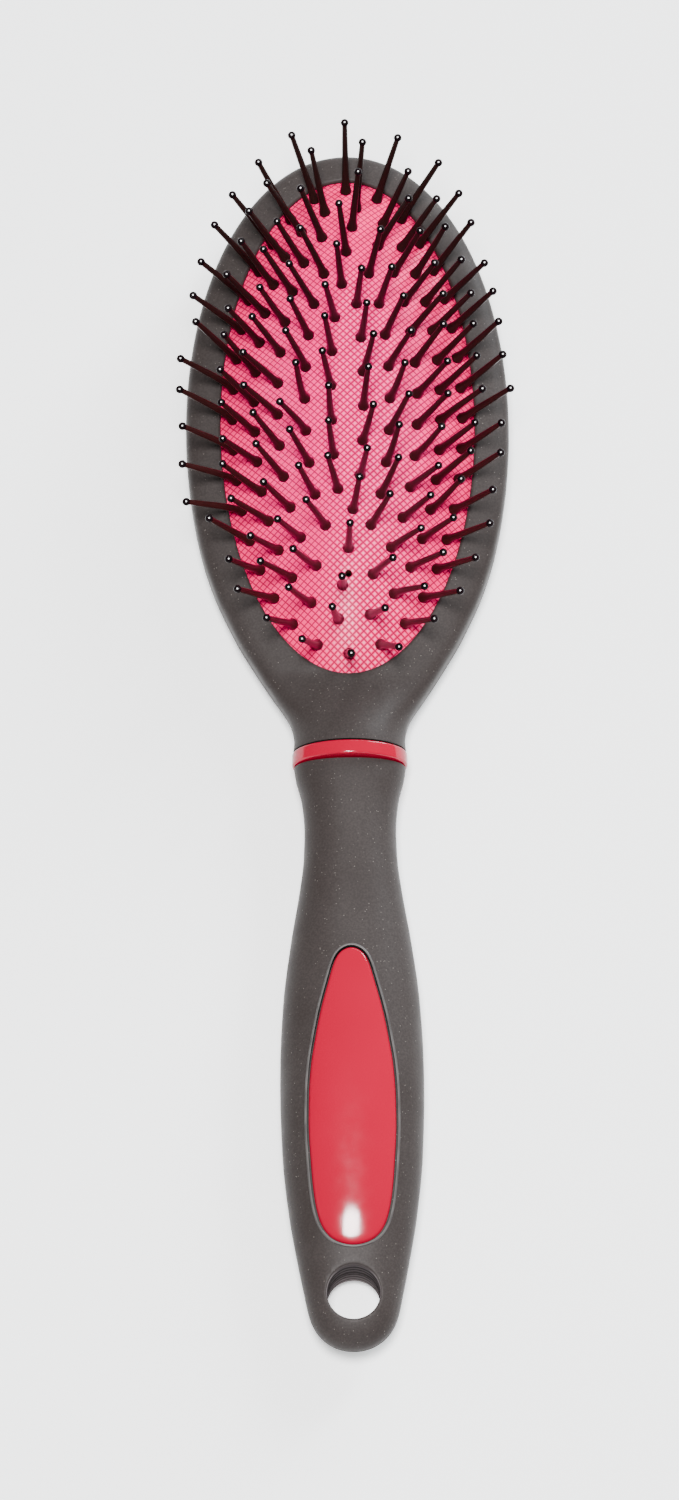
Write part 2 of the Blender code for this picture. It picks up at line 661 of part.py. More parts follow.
def build_handle(parts, cutters, core_hole, soft_touch, accent):
    front_slab = slab("handle_front_slab", NECK_AXIS_Z + GAP / 2, NECK_AXIS_Z + 2 * HANDLE_FRONT_RISE, cutters)
    back_slab = slab("handle_back_slab", -OVERRUN, NECK_AXIS_Z - GAP / 2, cutters)
    hole = hole_cutter(cutters)
    floor = NECK_AXIS_Z + INSERT_FLOOR_RISE
    pocket = as_cutter(insert_prism("insert_pocket_cutter", GAP, floor, cutters))

    front = add_object("handle_front_shell", handle_envelope("handle_front_shell"), parts, soft_touch)
    combine(front, front_slab, "INTERSECT")
    for cutter in (pocket, hole, core_hole):
        combine(front, cutter, "DIFFERENCE")
    shade(front)

    back = add_object("handle_back_shell", handle_envelope("handle_back_shell"), parts, soft_touch)
    combine(back, back_slab, "INTERSECT")
    for cutter in (hole, core_hole):
        combine(back, cutter, "DIFFERENCE")
    shade(back)

    insert = insert_prism("handle_insert", 0, floor + GAP, parts)
    insert.data.materials.append(accent)
    crown = as_cutter(add_object("insert_crown_cutter", handle_envelope("insert_crown_cutter"), cutters))
    combine(insert, crown, "INTERSECT")
    shade(insert)


def main():
    clear_scene()
    parts = new_collection("hair_brush")
    cutters = new_collection("cutters")
    soft_touch = make_material("soft_touch", (0.070, 0.062, 0.060), 0.55)
    rubber = make_material("cushion_rubber", (0.78, 0.12, 0.20), 0.45)
    accent = make_material("accent_plastic", (0.76, 0.045, 0.085), 0.15)
    hidden = make_material("inner_plastic", (0.10, 0.10, 0.10), 0.50)
    core_hole = build_head(parts, cutters, soft_touch)
    build_tray(parts, cutters, hidden)
    build_cushion(parts, cutters, rubber)
    build_neck(parts, core_hole, accent, hidden)
    build_handle(parts, cutters, core_hole, soft_touch, accent)


main()
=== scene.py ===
"""Looks of the oval cushion brush: shells, cushion, pins and trim made over its solids.

Metres, +Z up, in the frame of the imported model. Y runs along the brush with the head
towards +Y, X across it.
"""
import math
import random

import bmesh
import bpy
from mathutils import Matrix, Quaternion, Vector
from mathutils.geometry import delaunay_2d_cdt


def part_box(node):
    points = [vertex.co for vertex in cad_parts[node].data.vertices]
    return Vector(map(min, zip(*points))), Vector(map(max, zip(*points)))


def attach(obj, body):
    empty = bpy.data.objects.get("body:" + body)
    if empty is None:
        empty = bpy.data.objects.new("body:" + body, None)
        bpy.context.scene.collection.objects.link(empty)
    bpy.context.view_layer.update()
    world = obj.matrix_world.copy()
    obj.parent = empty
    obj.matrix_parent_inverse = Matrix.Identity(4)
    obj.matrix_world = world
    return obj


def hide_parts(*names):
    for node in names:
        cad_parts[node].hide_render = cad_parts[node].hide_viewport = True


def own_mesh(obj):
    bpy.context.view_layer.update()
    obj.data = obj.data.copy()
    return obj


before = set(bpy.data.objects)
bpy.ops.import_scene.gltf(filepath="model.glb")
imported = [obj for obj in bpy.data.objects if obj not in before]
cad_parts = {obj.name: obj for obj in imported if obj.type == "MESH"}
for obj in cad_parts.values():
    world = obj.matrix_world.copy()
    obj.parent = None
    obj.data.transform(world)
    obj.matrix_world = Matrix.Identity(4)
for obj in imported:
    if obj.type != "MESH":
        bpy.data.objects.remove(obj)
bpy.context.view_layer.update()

# Clearance between neighbours, reach of cutters, distance at which points are one, the brush's length
GAP = 0.0003
OVERRUN = 0.002
SAME_POINT = 0.000001
LENGTH = 0.238

# Turn of a rounded edge, in full and at a mouth, which leaves the skin sooner; power of a round section
QUARTER_TURN = math.pi / 2
MOUTH_TURN = math.radians(65)
ROUND_POWER = 2

# Angle from which an edge is shaded sharp: on the shells and the trim, and on the cushion and its pins
SHELL_SHARP = math.radians(40)
ROUND_SHARP = math.radians(60)

# Pad opening in the head, and the frame round it
PAD_HALF_WIDTH = 0.0242
PAD_HALF_LENGTH = 0.0509
PAD_END_SHARE = 1.26
FRAME_SIDE = 0.0067
FRAME_END = 0.0064
FRAME_FOOT = 0.0091
HEAD_TOP_POWER = 2.05
HEAD_FLANK_SHARES = (
    (0.00, 1.000), (0.05, 0.998), (0.15, 0.978), (0.27, 0.929), (0.40, 0.844),
    (0.52, 0.721), (0.60, 0.608), (0.66, 0.515), (0.72, 0.405), (0.78, 0.288),
    (0.83, 0.187), (0.88, 0.085), (0.91, 0.033), (0.94, 0.003), (0.97, -0.009),
    (1.00, 0.000),
)
LIP_ROUND = 0.0007

# Head in height
HEAD_FRONT_RISE = 0.0064
HEAD_BACK_OVERFLOW = 0.0002
HEAD_FRONT_POWER = 6.0
HEAD_BACK_POWER = 2.4
BACK_COVER_FLOOR = 0.0020
BACK_COVER_LEDGE = 0.0016
CHAMBER_FLOOR_SHARE = 0.70
LIP_THICKNESS = 0.0016

# Neck and accent ring
RING_EDGE = 0.0004
RING_PROUD = 0.00025

# Handle
HANDLE_LENGTH = 0.1119
HANDLE_HALF_WIDTH = 0.01325
HANDLE_FRONT_RISE = 0.0082
HANDLE_BACK_DROP = 0.0086
HANDLE_POWER = 2.2
HANDLE_END_SHARE = 0.905
HANDLE_END_POWER = 3
HANDLE_WIDTH_SHARES = (
    (0.00, 0.790), (0.02, 0.766), (0.06, 0.682), (0.11, 0.646), (0.16, 0.659),
    (0.21, 0.710), (0.31, 0.847), (0.41, 0.952), (0.51, 0.996), (0.56, 1.000),
    (0.67, 0.972), (0.77, 0.887), (0.87, 0.741), (0.93, 0.645), (1.00, 0.585),
)
HANDLE_FRONT_SHARES = (
    (0.00, 0.800), (0.12, 0.775), (0.30, 0.880), (0.55, 1.000), (0.75, 0.860),
    (0.90, 0.660), (1.00, 0.560),
)
HANDLE_BACK_SHARES = (
    (0.00, 0.860), (0.12, 0.760), (0.30, 0.880), (0.55, 1.000), (0.75, 0.880),
    (0.90, 0.680), (1.00, 0.560),
)

# Glossy insert, and the raised bead of the grip round it
INSERT_HALF_WIDTH = 0.0080
INSERT_SHARES = (
    (0.00, 0.00), (0.11, 0.33), (0.23, 0.55), (0.31, 0.72), (0.38, 0.85), (0.44, 0.945),
    (0.50, 0.99), (0.56, 1.00), (0.65, 0.955), (0.73, 0.89), (0.81, 0.775), (0.885, 0.565),
    (1.00, 0.00),
)
INSERT_EDGE = 0.0005
INSERT_GRID = 0.0009
INSERT_ROLL = 0.0005
INSERT_ROLL_RUN = 0.0075
BEAD_RADIUS = 0.00030
BEAD_OFFSET_SHARE = 0.6
BEAD_PROUD = 0.00014
BEAD_SIDES = 16
# Reach and height of the bead's painted highlight
BEAD_HIGHLIGHT_REACH = 3 * BEAD_RADIUS
BEAD_HIGHLIGHT_PROUD = BEAD_PROUD / 3

# Hole that the brush hangs on
HOLE_RADIUS = 0.0048
HOLE_LIP = 0.0006
HOLE_WALL_REACH = HOLE_RADIUS + HOLE_LIP / 4
HOLE_TO_END = 0.0099
HOLE_RIDGE = 0.0016

# Cushion, its embossed weave, and its vent hole, whose mouth has (radius, drop) in shares of its radius
CUSHION_CROWN = 0.0074
CROWN_SHIFT = 0.0030
CUSHION_THICKNESS = 0.0014
UNDER_GRID = 0.004
WEAVE_ACROSS = 0.00140
WEAVE_ALONG = 0.00137
WEAVE_DEPTH = 0.00012
WEAVE_EDGE = 0.0006
WEAVE_POINTS = 4
VENT_RADIUS = 0.0005
VENT_OVAL_SHARE = 0.48
VENT_MOUTH_SHARES = ((1.00, 0.25), (1.25, 0.06), (1.60, 0.00))
# Reach of the painted shade on the vent's wall, in shares of its radius
VENT_WALL_SHARE = 1.4
VENT_CLEAR_SHARE = 1.9

# Pins: ball tipped, on bulbous feet, in five ovals; a few of the outer oval lean further out. A pin's
# profile is (height, radius)
PIN_LENGTH = 0.0171
PIN_BALL_RADIUS = 0.00076
PIN_PROFILE = (
    (-0.00080, 0.00088), (-0.00020, 0.00108), (0.00020, 0.00112), (0.00060, 0.00107),
    (0.00105, 0.00096), (0.00160, 0.00084), (0.00230, 0.00075), (0.00330, 0.00070),
    (0.00500, 0.00067), (0.00800, 0.00062), (0.01200, 0.00056), (0.01500, 0.00051),
    (0.01605, 0.00049),
)
PIN_OVAL_SHARES = (0.899, 0.730, 0.547, 0.333, 0.127)
PIN_START_SHARES = (0, 0.32, 0.18, 0, 0.80)
PIN_COUNTS = (36, 32, 26, 20, 14)
LEANING_PINS = (24, 25, 26, 27, 28)
LEAN = math.radians(13)
PIN_WOBBLE = math.radians(2.0)
PIN_SEED = 7
PIN_SIDES = 16
BALL_RINGS = 10

# Ways that the painted highlights on the ball tips and on the weave face
BALL_HIGHLIGHT_WAY = (0, -0.28, 0.96)
WEAVE_HIGHLIGHT_WAY = (0.09, -0.20, 0.97)

# Facets: how many steps each form has
SECTION_STEPS = 128
PRISM_STEPS = 256
HOLE_STEPS = 96
VENT_STEPS = 24
EDGE_STEPS = 6
INSERT_EDGE_STEPS = 5
NECK_STEPS = 34
FOOT_STEPS = 26
TOP_STEPS = 44
HANDLE_STEPS = 73
HANDLE_END_STEPS = 37
OUTLINE_STEPS = 120
BEND_STEPS = 24
ARC_SAMPLES = 1440

# Colours, as linear red, green and blue
COAT_DARK = (0.0290, 0.0230, 0.0218)
COAT_PALE = (0.0355, 0.0292, 0.0279)
COAT_GRAIN = (0.0150, 0.0118, 0.0112)
COAT_DUST = (0.22, 0.20, 0.18)
# Painted highlight along the bead round the insert
BEAD_HIGHLIGHT_DARK = (0.038, 0.034, 0.033)
BEAD_HIGHLIGHT_PALE = (0.070, 0.064, 0.062)
# Painted reflection and shade of the hanging hole's wall: darker in its ridges' troughs, paler on their
# crests
HOLE_SHADED_TROUGH = (0.058, 0.049, 0.050)
HOLE_LIT_CREST = (0.130, 0.112, 0.114)
# Painted light and shade of the cushion: paler at its crown, darker at its edges
PINK_LIT_CROWN = (0.97, 0.0075, 0.185)
PINK_SHADED_EDGE = (0.92, 0.0032, 0.130)
PINK_PATCH = (0.70, 0.002, 0.075)
# Painted shade in the weave's grooves
PINK_GROOVE_SHADE = (0.14, 0.0004, 0.010)
# Painted highlight on the middles of the weave's diamonds
PINK_HIGHLIGHT = (0.97, 0.48, 0.62)
# Painted light and shade of the pins: paler and redder towards the neck, darker at the top
MAROON_LIT_NECK_END = (0.031, 0.0062, 0.0062)
MAROON_SHADED_TOP_END = (0.0110, 0.0044, 0.0040)
MAROON_PATCH = (0.016, 0.0040, 0.0038)
BALL_DARK = (0.0025, 0.0015, 0.0018)
BALL_PALE = (0.006, 0.003, 0.004)
# Painted highlight on the ball tips
BALL_HIGHLIGHT = (0.95, 0.94, 0.93)
ACCENT_DARK = (0.305, 0.0002, 0.018)
ACCENT_PALE = (0.335, 0.0003, 0.021)
INNER_DARK = (0.010, 0.010, 0.010)
INNER_PALE = (0.020, 0.019, 0.018)
WHITE = (1, 1, 1)
COOL_WHITE = (0.88, 0.96, 1.0)

# Camera: where it looks from, and where the photograph has the brush; its sensor is in millimetres
CAMERA_RISE = math.radians(70)
CAMERA_ROLL = math.radians(0.38)
CAMERA_DISTANCE = 1.10
CAMERA_SENSOR = 36
CAMERA_FOCAL_SHARE = 3.877
CAMERA_NEAR = 0.01
CAMERA_AIM_X = -0.00192
CAMERA_AIM_Y = -0.0001

# Floor and light: a softbox nearly overhead, and strips for the rims. Each lamp has its name, place,
# width, length, power and colour, and its shape where that isn't a rectangle
FLOOR_HALF_SIZE = 3.0
FLOOR_GLOW = 0.7
WORLD_STRENGTH = 0.08
LAMPS = (
    ("key", (-0.03, -0.19, 1.14), 0.24, 0.32, 34, WHITE, "ELLIPSE"),
    ("right_strip", (0.75, 0.85, 0.50), 0.25, 0.80, 22, COOL_WHITE),
    ("back_strip", (0.30, 0.95, 0.50), 0.60, 0.25, 5, WHITE),
    ("left_strip", (-0.90, -0.10, 0.35), 0.20, 1.10, 0.3, WHITE),
    ("front_strip", (0.10, -1.00, 0.35), 0.50, 0.20, 2.4, COOL_WHITE),
)

# Places that follow from the frame
frame_low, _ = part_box("head_frame")
_, cover_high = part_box("head_back_cover")
rim_low, rim_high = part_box("cushion_rim")
ring_low, ring_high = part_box("accent_ring")
core_low, core_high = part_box("neck_core")
insert_low, insert_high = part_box("handle_insert")
HEAD_SEAM_Z = (frame_low.z + cover_high.z) / 2
HEAD_HALF_WIDTH = PAD_HALF_WIDTH + FRAME_SIDE
HEAD_TOP_REACH = PAD_HALF_LENGTH + FRAME_END
HEAD_FOOT_REACH = PAD_HALF_LENGTH + FRAME_FOOT
HEAD_FRONT_Z = HEAD_SEAM_Z + HEAD_FRONT_RISE
HEAD_FOOT_Y = ring_high.y + GAP
PAD_CENTRE_Y = (rim_low.y + rim_high.y) / 2
NECK_RUN = PAD_CENTRE_Y - PAD_HALF_LENGTH - HEAD_FOOT_Y
LIP_UNDER_Z = HEAD_FRONT_Z - LIP_THICKNESS
CUSHION_RIM_Z = LIP_UNDER_Z - GAP
CLAMP_HALF_WIDTH = rim_high.x
RECESS_HALF_WIDTH = CLAMP_HALF_WIDTH + GAP
FACE_HALF_WIDTH = PAD_HALF_WIDTH - GAP
NECK_AXIS_Z = (ring_low.z + ring_high.z) / 2
RING_HALF_WIDTH = ring_high.x
RING_HALF_THICKNESS = ring_high.z - NECK_AXIS_Z
NECK_HALF_WIDTH = RING_HALF_WIDTH - RING_PROUD
NECK_HALF_THICKNESS = RING_HALF_THICKNESS - RING_PROUD
HANDLE_TOP_Y = ring_low.y - GAP
HANDLE_END_Y = HANDLE_TOP_Y - HANDLE_LENGTH
HOLE_Y = HANDLE_END_Y + HOLE_TO_END
INSERT_LENGTH = insert_high.y - insert_low.y
INSERT_FLOOR_Z = insert_low.z - INSERT_ROLL


# Curves and surfaces that the pieces share

def eased(table, share):
    """Read a smooth curve through a table of (place, value) shares, with no overshoot."""
    places = [place for place, _ in table]
    values = [value for _, value in table]
    slopes = [(values[i + 1] - values[i]) / (places[i + 1] - places[i]) for i in range(len(table) - 1)]
    tangents = [slopes[0]]
    for before, after in zip(slopes, slopes[1:]):
        together = before * after
        tangents.append(2 * together / (before + after) if together > 0 else 0)
    tangents.append(slopes[-1])
    share = min(max(share, places[0]), places[-1])
    i = max(k for k in range(len(slopes)) if places[k] <= share)
    run = places[i + 1] - places[i]
    t = (share - places[i]) / run
    rise = values[i + 1] - values[i]
    start = tangents[i] * run
    end = tangents[i + 1] * run
    return values[i] + t * start + t * t * (3 * rise - 2 * start - end) + t ** 3 * (start + end - 2 * rise)


def smooth_step(low, high, value):
    """0 up to the low value and 1 from the high one, with a smooth rise between them."""
    t = min(max((value - low) / (high - low), 0), 1)
    return t * t * (3 - 2 * t)


def full_turn(steps):
    """The angles of a full turn in equal steps."""
    return [2 * math.pi * i / steps for i in range(steps)]


def even_places(start, run, steps):
    """Places at equal steps from a start, without the run's far end."""
    return [start + run * i / steps for i in range(steps)]


def closing_places(start, run, steps):
    """Places that crowd towards the run's far end, without it, where a form rounds off."""
    return [start + run * math.sin(QUARTER_TURN * i / steps) for i in range(steps)]


def rounding(radius, last_turn, steps):
    """How far out and how far below its crest a rounded edge lies, at steps of its turn."""
    turns = [last_turn * k / steps for k in range(steps + 1)]
    return [(radius * (1 - math.cos(turn)), radius * (1 - math.sin(turn))) for turn in turns]


def raised(places, height):
    """Points over places in plan, at one height or each at the height that a skin has there."""
    points = [Vector((x, y, 0)) for x, y in places]
    for point in points:
        point.z = height(point) if callable(height) else height
    return points


def with_outward(outline):
    """Each point of a closed outline, with the direction square out of it."""
    pairs = []
    for before, point, after in zip(outline[-1:] + outline[:-1], outline, outline[1:] + outline[:1]):
        along = (after - before).normalized()
        pairs.append((point, Vector((-along.y, along.x))))
    return pairs


def oval_half_length(half_width):
    """The ovals of the pad share one rule, so they stay parallel round the ends."""
    return PAD_HALF_LENGTH - PAD_END_SHARE * (PAD_HALF_WIDTH - half_width)


def oval_centre(half_width):
    """The crown of the cushion sits a little towards the top, and its ovals lead up to it."""
    return PAD_CENTRE_Y + CROWN_SHIFT * max(1 - (half_width / PAD_HALF_WIDTH) ** 2, 0)


def oval_place(half_width, turn):
    y = oval_centre(half_width) + oval_half_length(half_width) * math.cos(turn)
    return half_width * math.sin(turn), y


def oval_through(x, y):
    """Half width of the level oval that passes through a point of the cushion."""
    low, high = SAME_POINT, CLAMP_HALF_WIDTH
    while high - low > SAME_POINT:
        middle = (low + high) / 2
        reach = (x / middle) ** 2 + ((y - oval_centre(middle)) / oval_half_length(middle)) ** 2
        if reach > 1:
            low = middle
        else:
            high = middle
    return high


def dome_height(half_width):
    """Height of the inflated cushion on one of its level ovals."""
    return CUSHION_RIM_Z + CUSHION_CROWN * max(1 - (half_width / PAD_HALF_WIDTH) ** 2, 0)


def dome_normal(half_width, x, y):
    """Direction square to the cushion at a point of one of its level ovals."""
    half_length = oval_half_length(half_width)
    from_centre = y - oval_centre(half_width)
    across = x / half_width ** 2
    along = from_centre / half_length ** 2
    fall = 2 * half_width / PAD_HALF_WIDTH ** 2
    spread = x * across / half_width + PAD_END_SHARE * from_centre * along / half_length
    spread -= CROWN_SHIFT * fall * along
    slope = CUSHION_CROWN * fall / spread
    return Vector((slope * across, slope * along, 1)).normalized()


def head_half_width(y):
    """Outline of the head: round over the top, and drawn in from its middle to the neck."""
    if y > PAD_CENTRE_Y:
        share = min((y - PAD_CENTRE_Y) / HEAD_TOP_REACH, 1)
        return HEAD_HALF_WIDTH * (1 - share ** HEAD_TOP_POWER) ** (1 / HEAD_TOP_POWER)
    share = (PAD_CENTRE_Y - y) / (PAD_CENTRE_Y - HEAD_FOOT_Y)
    return NECK_HALF_WIDTH + (HEAD_HALF_WIDTH - NECK_HALF_WIDTH) * eased(HEAD_FLANK_SHARES, share)


def head_height(y, across, front):
    """Height of the head's skin at a share of its half width, on its front or its back."""
    if y > PAD_CENTRE_Y:
        bend = HEAD_TOP_POWER
        along = min((y - PAD_CENTRE_Y) / HEAD_TOP_REACH, 1)
    else:
        bend = ROUND_POWER
        along = min(PAD_CENTRE_Y - y, PAD_HALF_LENGTH) / HEAD_FOOT_REACH
    power = HEAD_FRONT_POWER if front else HEAD_BACK_POWER
    rise = HEAD_FRONT_RISE if front else -(HEAD_SEAM_Z + HEAD_BACK_OVERFLOW)
    neck_rise = NECK_HALF_THICKNESS if front else -NECK_HALF_THICKNESS
    from_centre = min(((1 - along ** bend) * across ** bend + along ** bend) ** (1 / bend), 1)
    head = smooth_step(HEAD_FOOT_Y, HEAD_FOOT_Y + NECK_RUN, y)
    middle = NECK_AXIS_Z + head * (HEAD_SEAM_Z - NECK_AXIS_Z)
    z = head * rise * (1 - from_centre ** power) ** (1 / power)
    return middle + z + (1 - head) * neck_rise * math.sqrt(max(1 - across ** 2, 0))


def head_section(y):
    """One closed section of the head: flat fronted at the pad, round at the neck."""
    half_width = head_half_width(y)
    head = smooth_step(HEAD_FOOT_Y, HEAD_FOOT_Y + NECK_RUN, y)
    points = []
    for turn in full_turn(SECTION_STEPS):
        front = math.sin(turn) >= 0
        full_power = HEAD_FRONT_POWER if front else HEAD_BACK_POWER
        power = ROUND_POWER + head * (full_power - ROUND_POWER)
        across = abs(math.cos(turn)) ** (2 / power)
        if abs(math.cos(turn)) < SAME_POINT:
            across = 0
        x = math.copysign(across, math.cos(turn)) * half_width
        points.append(Vector((x, y, head_height(y, across, front))))
    return points


def handle_end_factor(share):
    """Rounds the free end of the handle; 1 on the rest of it."""
    t = max(share - HANDLE_END_SHARE, 0) / (1 - HANDLE_END_SHARE)
    return math.sqrt(max(1 - t ** HANDLE_END_POWER, 0))


def handle_reach(share):
    """Half width, front rise and back drop of the handle at a share of its length."""
    end = handle_end_factor(share)
    half_width = HANDLE_HALF_WIDTH * eased(HANDLE_WIDTH_SHARES, share) * end
    front = HANDLE_FRONT_RISE * eased(HANDLE_FRONT_SHARES, share) * end
    back = HANDLE_BACK_DROP * eased(HANDLE_BACK_SHARES, share) * end
    return half_width, front, back


def handle_section(share):
    """One closed section of the handle, a little squarer than an ellipse."""
    half_width, front, back = handle_reach(share)
    points = []
    for turn in full_turn(SECTION_STEPS):
        across = math.copysign(abs(math.cos(turn)) ** (2 / HANDLE_POWER), math.cos(turn))
        up = abs(math.sin(turn)) ** (2 / HANDLE_POWER)
        z = NECK_AXIS_Z + up * (front if math.sin(turn) >= 0 else -back)
        points.append(Vector((across * half_width, HANDLE_TOP_Y - share * HANDLE_LENGTH, z)))
    return points


def handle_height(x, y, front=True):
    """Height of the handle's skin over a point, on its front or its back."""
    half_width, rise, drop = handle_reach((HANDLE_TOP_Y - y) / HANDLE_LENGTH)
    inner = max(1 - (abs(x) / half_width) ** HANDLE_POWER, 0) ** (1 / HANDLE_POWER)
    return NECK_AXIS_Z + inner * (rise if front else -drop)


def insert_outline(clearance):
    """Closed outline of the insert, grown or drawn in square to itself by a clearance."""
    half = []
    for i in range(OUTLINE_STEPS + 1):
        share = (1 - math.cos(math.pi * i / OUTLINE_STEPS)) / 2
        x = INSERT_HALF_WIDTH * eased(INSERT_SHARES, i / OUTLINE_STEPS)
        half.append(Vector((x, insert_high.y - share * INSERT_LENGTH)))
    outline = half + [Vector((-point.x, point.y)) for point in half[-2:0:-1]]
    return [point + clearance * outward for point, outward in with_outward(outline)]


# Making meshes and pieces

def mesh_from_bmesh(name, bm):
    bmesh.ops.recalc_face_normals(bm, faces=bm.faces)
    mesh = bpy.data.meshes.new(name)
    bm.to_mesh(mesh)
    bm.free()
    return mesh


def add_object(name, data):
    obj = bpy.data.objects.new(name, data)
    bpy.context.scene.collection.objects.link(obj)
    return obj


def skin_rings(bm, rings):
    """Join each ring of corners to the next one with four-sided faces."""
    for ring, following in zip(rings, rings[1:]):
        for i in range(len(ring)):
            j = (i + 1) % len(ring)
            bm.faces.new((ring[i], ring[j], following[j], following[i]))


def loft(name, sections):
    """Skin a list of closed sections; a section of one point closes an end."""
    bm = bmesh.new()
    rings = [[bm.verts.new(point) for point in section] for section in sections]
    for lower, upper in zip(rings, rings[1:]):
        count = max(len(lower), len(upper))
        for i in range(count):
            j = (i + 1) % count
            corners = [lower[i % len(lower)], lower[j % len(lower)]]
            corners += [upper[j % len(upper)], upper[i % len(upper)]]
            bm.faces.new(list(dict.fromkeys(corners)))
    for ring in (rings[0], rings[-1]):
        if len(ring) > 1:
            bm.faces.new(ring)
    return mesh_from_bmesh(name, bm)


def block(name, low, high):
    bm = bmesh.new()
    bmesh.ops.create_cube(bm, size=1)
    size = Matrix.Diagonal((*(high - low), 1))
    bm.transform(Matrix.Translation((low + high) / 2) @ size)
    return mesh_from_bmesh(name, bm)


def cut(obj, mesh, operation="DIFFERENCE"):
    """Apply one exact Boolean with a mesh that is used for nothing else."""
    tool = add_object("cutter", mesh)
    modifier = obj.modifiers.new("cut", "BOOLEAN")
    modifier.operation = operation
    modifier.solver = "EXACT"
    modifier.object = tool
    evaluated = obj.evaluated_get(bpy.context.evaluated_depsgraph_get())
    result = bpy.data.meshes.new_from_object(evaluated)
    obj.modifiers.clear()
    obj.data = result
    bpy.data.objects.remove(tool, do_unlink=True)


def finish_piece(obj, body, slot, material, *nodes, sharp=SHELL_SHARP):
    """Shade a piece, give it its material, and say what it rides on and stands for."""
    obj.data.materials.clear()
    obj.data.materials.append(material)
    obj.data.shade_smooth()
    obj.data.set_sharp_from_angle(angle=sharp)
    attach(obj, body)
    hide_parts(*nodes)


def paint_faces(obj, material, chosen):
    """Give the faces whose middles pass a test a material of their own."""
    obj.data.materials.append(material)
    for face in obj.data.polygons:
        if chosen(face.center):
            face.material_index = len(obj.data.materials) - 1


def sheet(outer, holes=(), loops=(), inner=()):
    """Triangulate in plan, at their own heights, the points of loops and the points between them.

    The outer loop bounds the sheet, and nothing is filled inside a hole.
    """
    points = []
    edges = []
    for ring in (outer, *holes, *loops):
        first = len(points)
        points += ring
        edges += [(first + i, first + (i + 1) % len(ring)) for i in range(len(ring))]
    points += inner
    flat = [point.xy for point in points]
    inside_only = 1
    tolerance = SAME_POINT / 100
    found, _, faces, origin, _, _ = delaunay_2d_cdt(flat, edges, [], inside_only, tolerance)
    if len(found) != len(points):
        raise ValueError(f"{len(points)} points of a sheet became {len(found)}")
    first = len(outer)
    openings = []
    for hole in holes:
        openings.append(set(range(first, first + len(hole))))
        first += len(hole)
    kept = []
    for face in faces:
        corners = [origin[i][0] for i in face]
        if not any(opening.issuperset(corners) for opening in openings):
            kept.append(corners)
    return points, kept


def closed_sheet(name, top, under, walls):
    """Join two sheets into a solid body along the loops that come first in both."""
    bm = bmesh.new()
    sides = []
    for points, faces in (top, under):
        verts = [bm.verts.new(point) for point in points]
        for corners in faces:
            bm.faces.new([verts[i] for i in corners])
        sides.append(verts)
    first = 0
    for count in walls:
        skin_rings(bm, [side[first:first + count] for side in sides])
        first += count
    return mesh_from_bmesh(name, bm)


# Materials

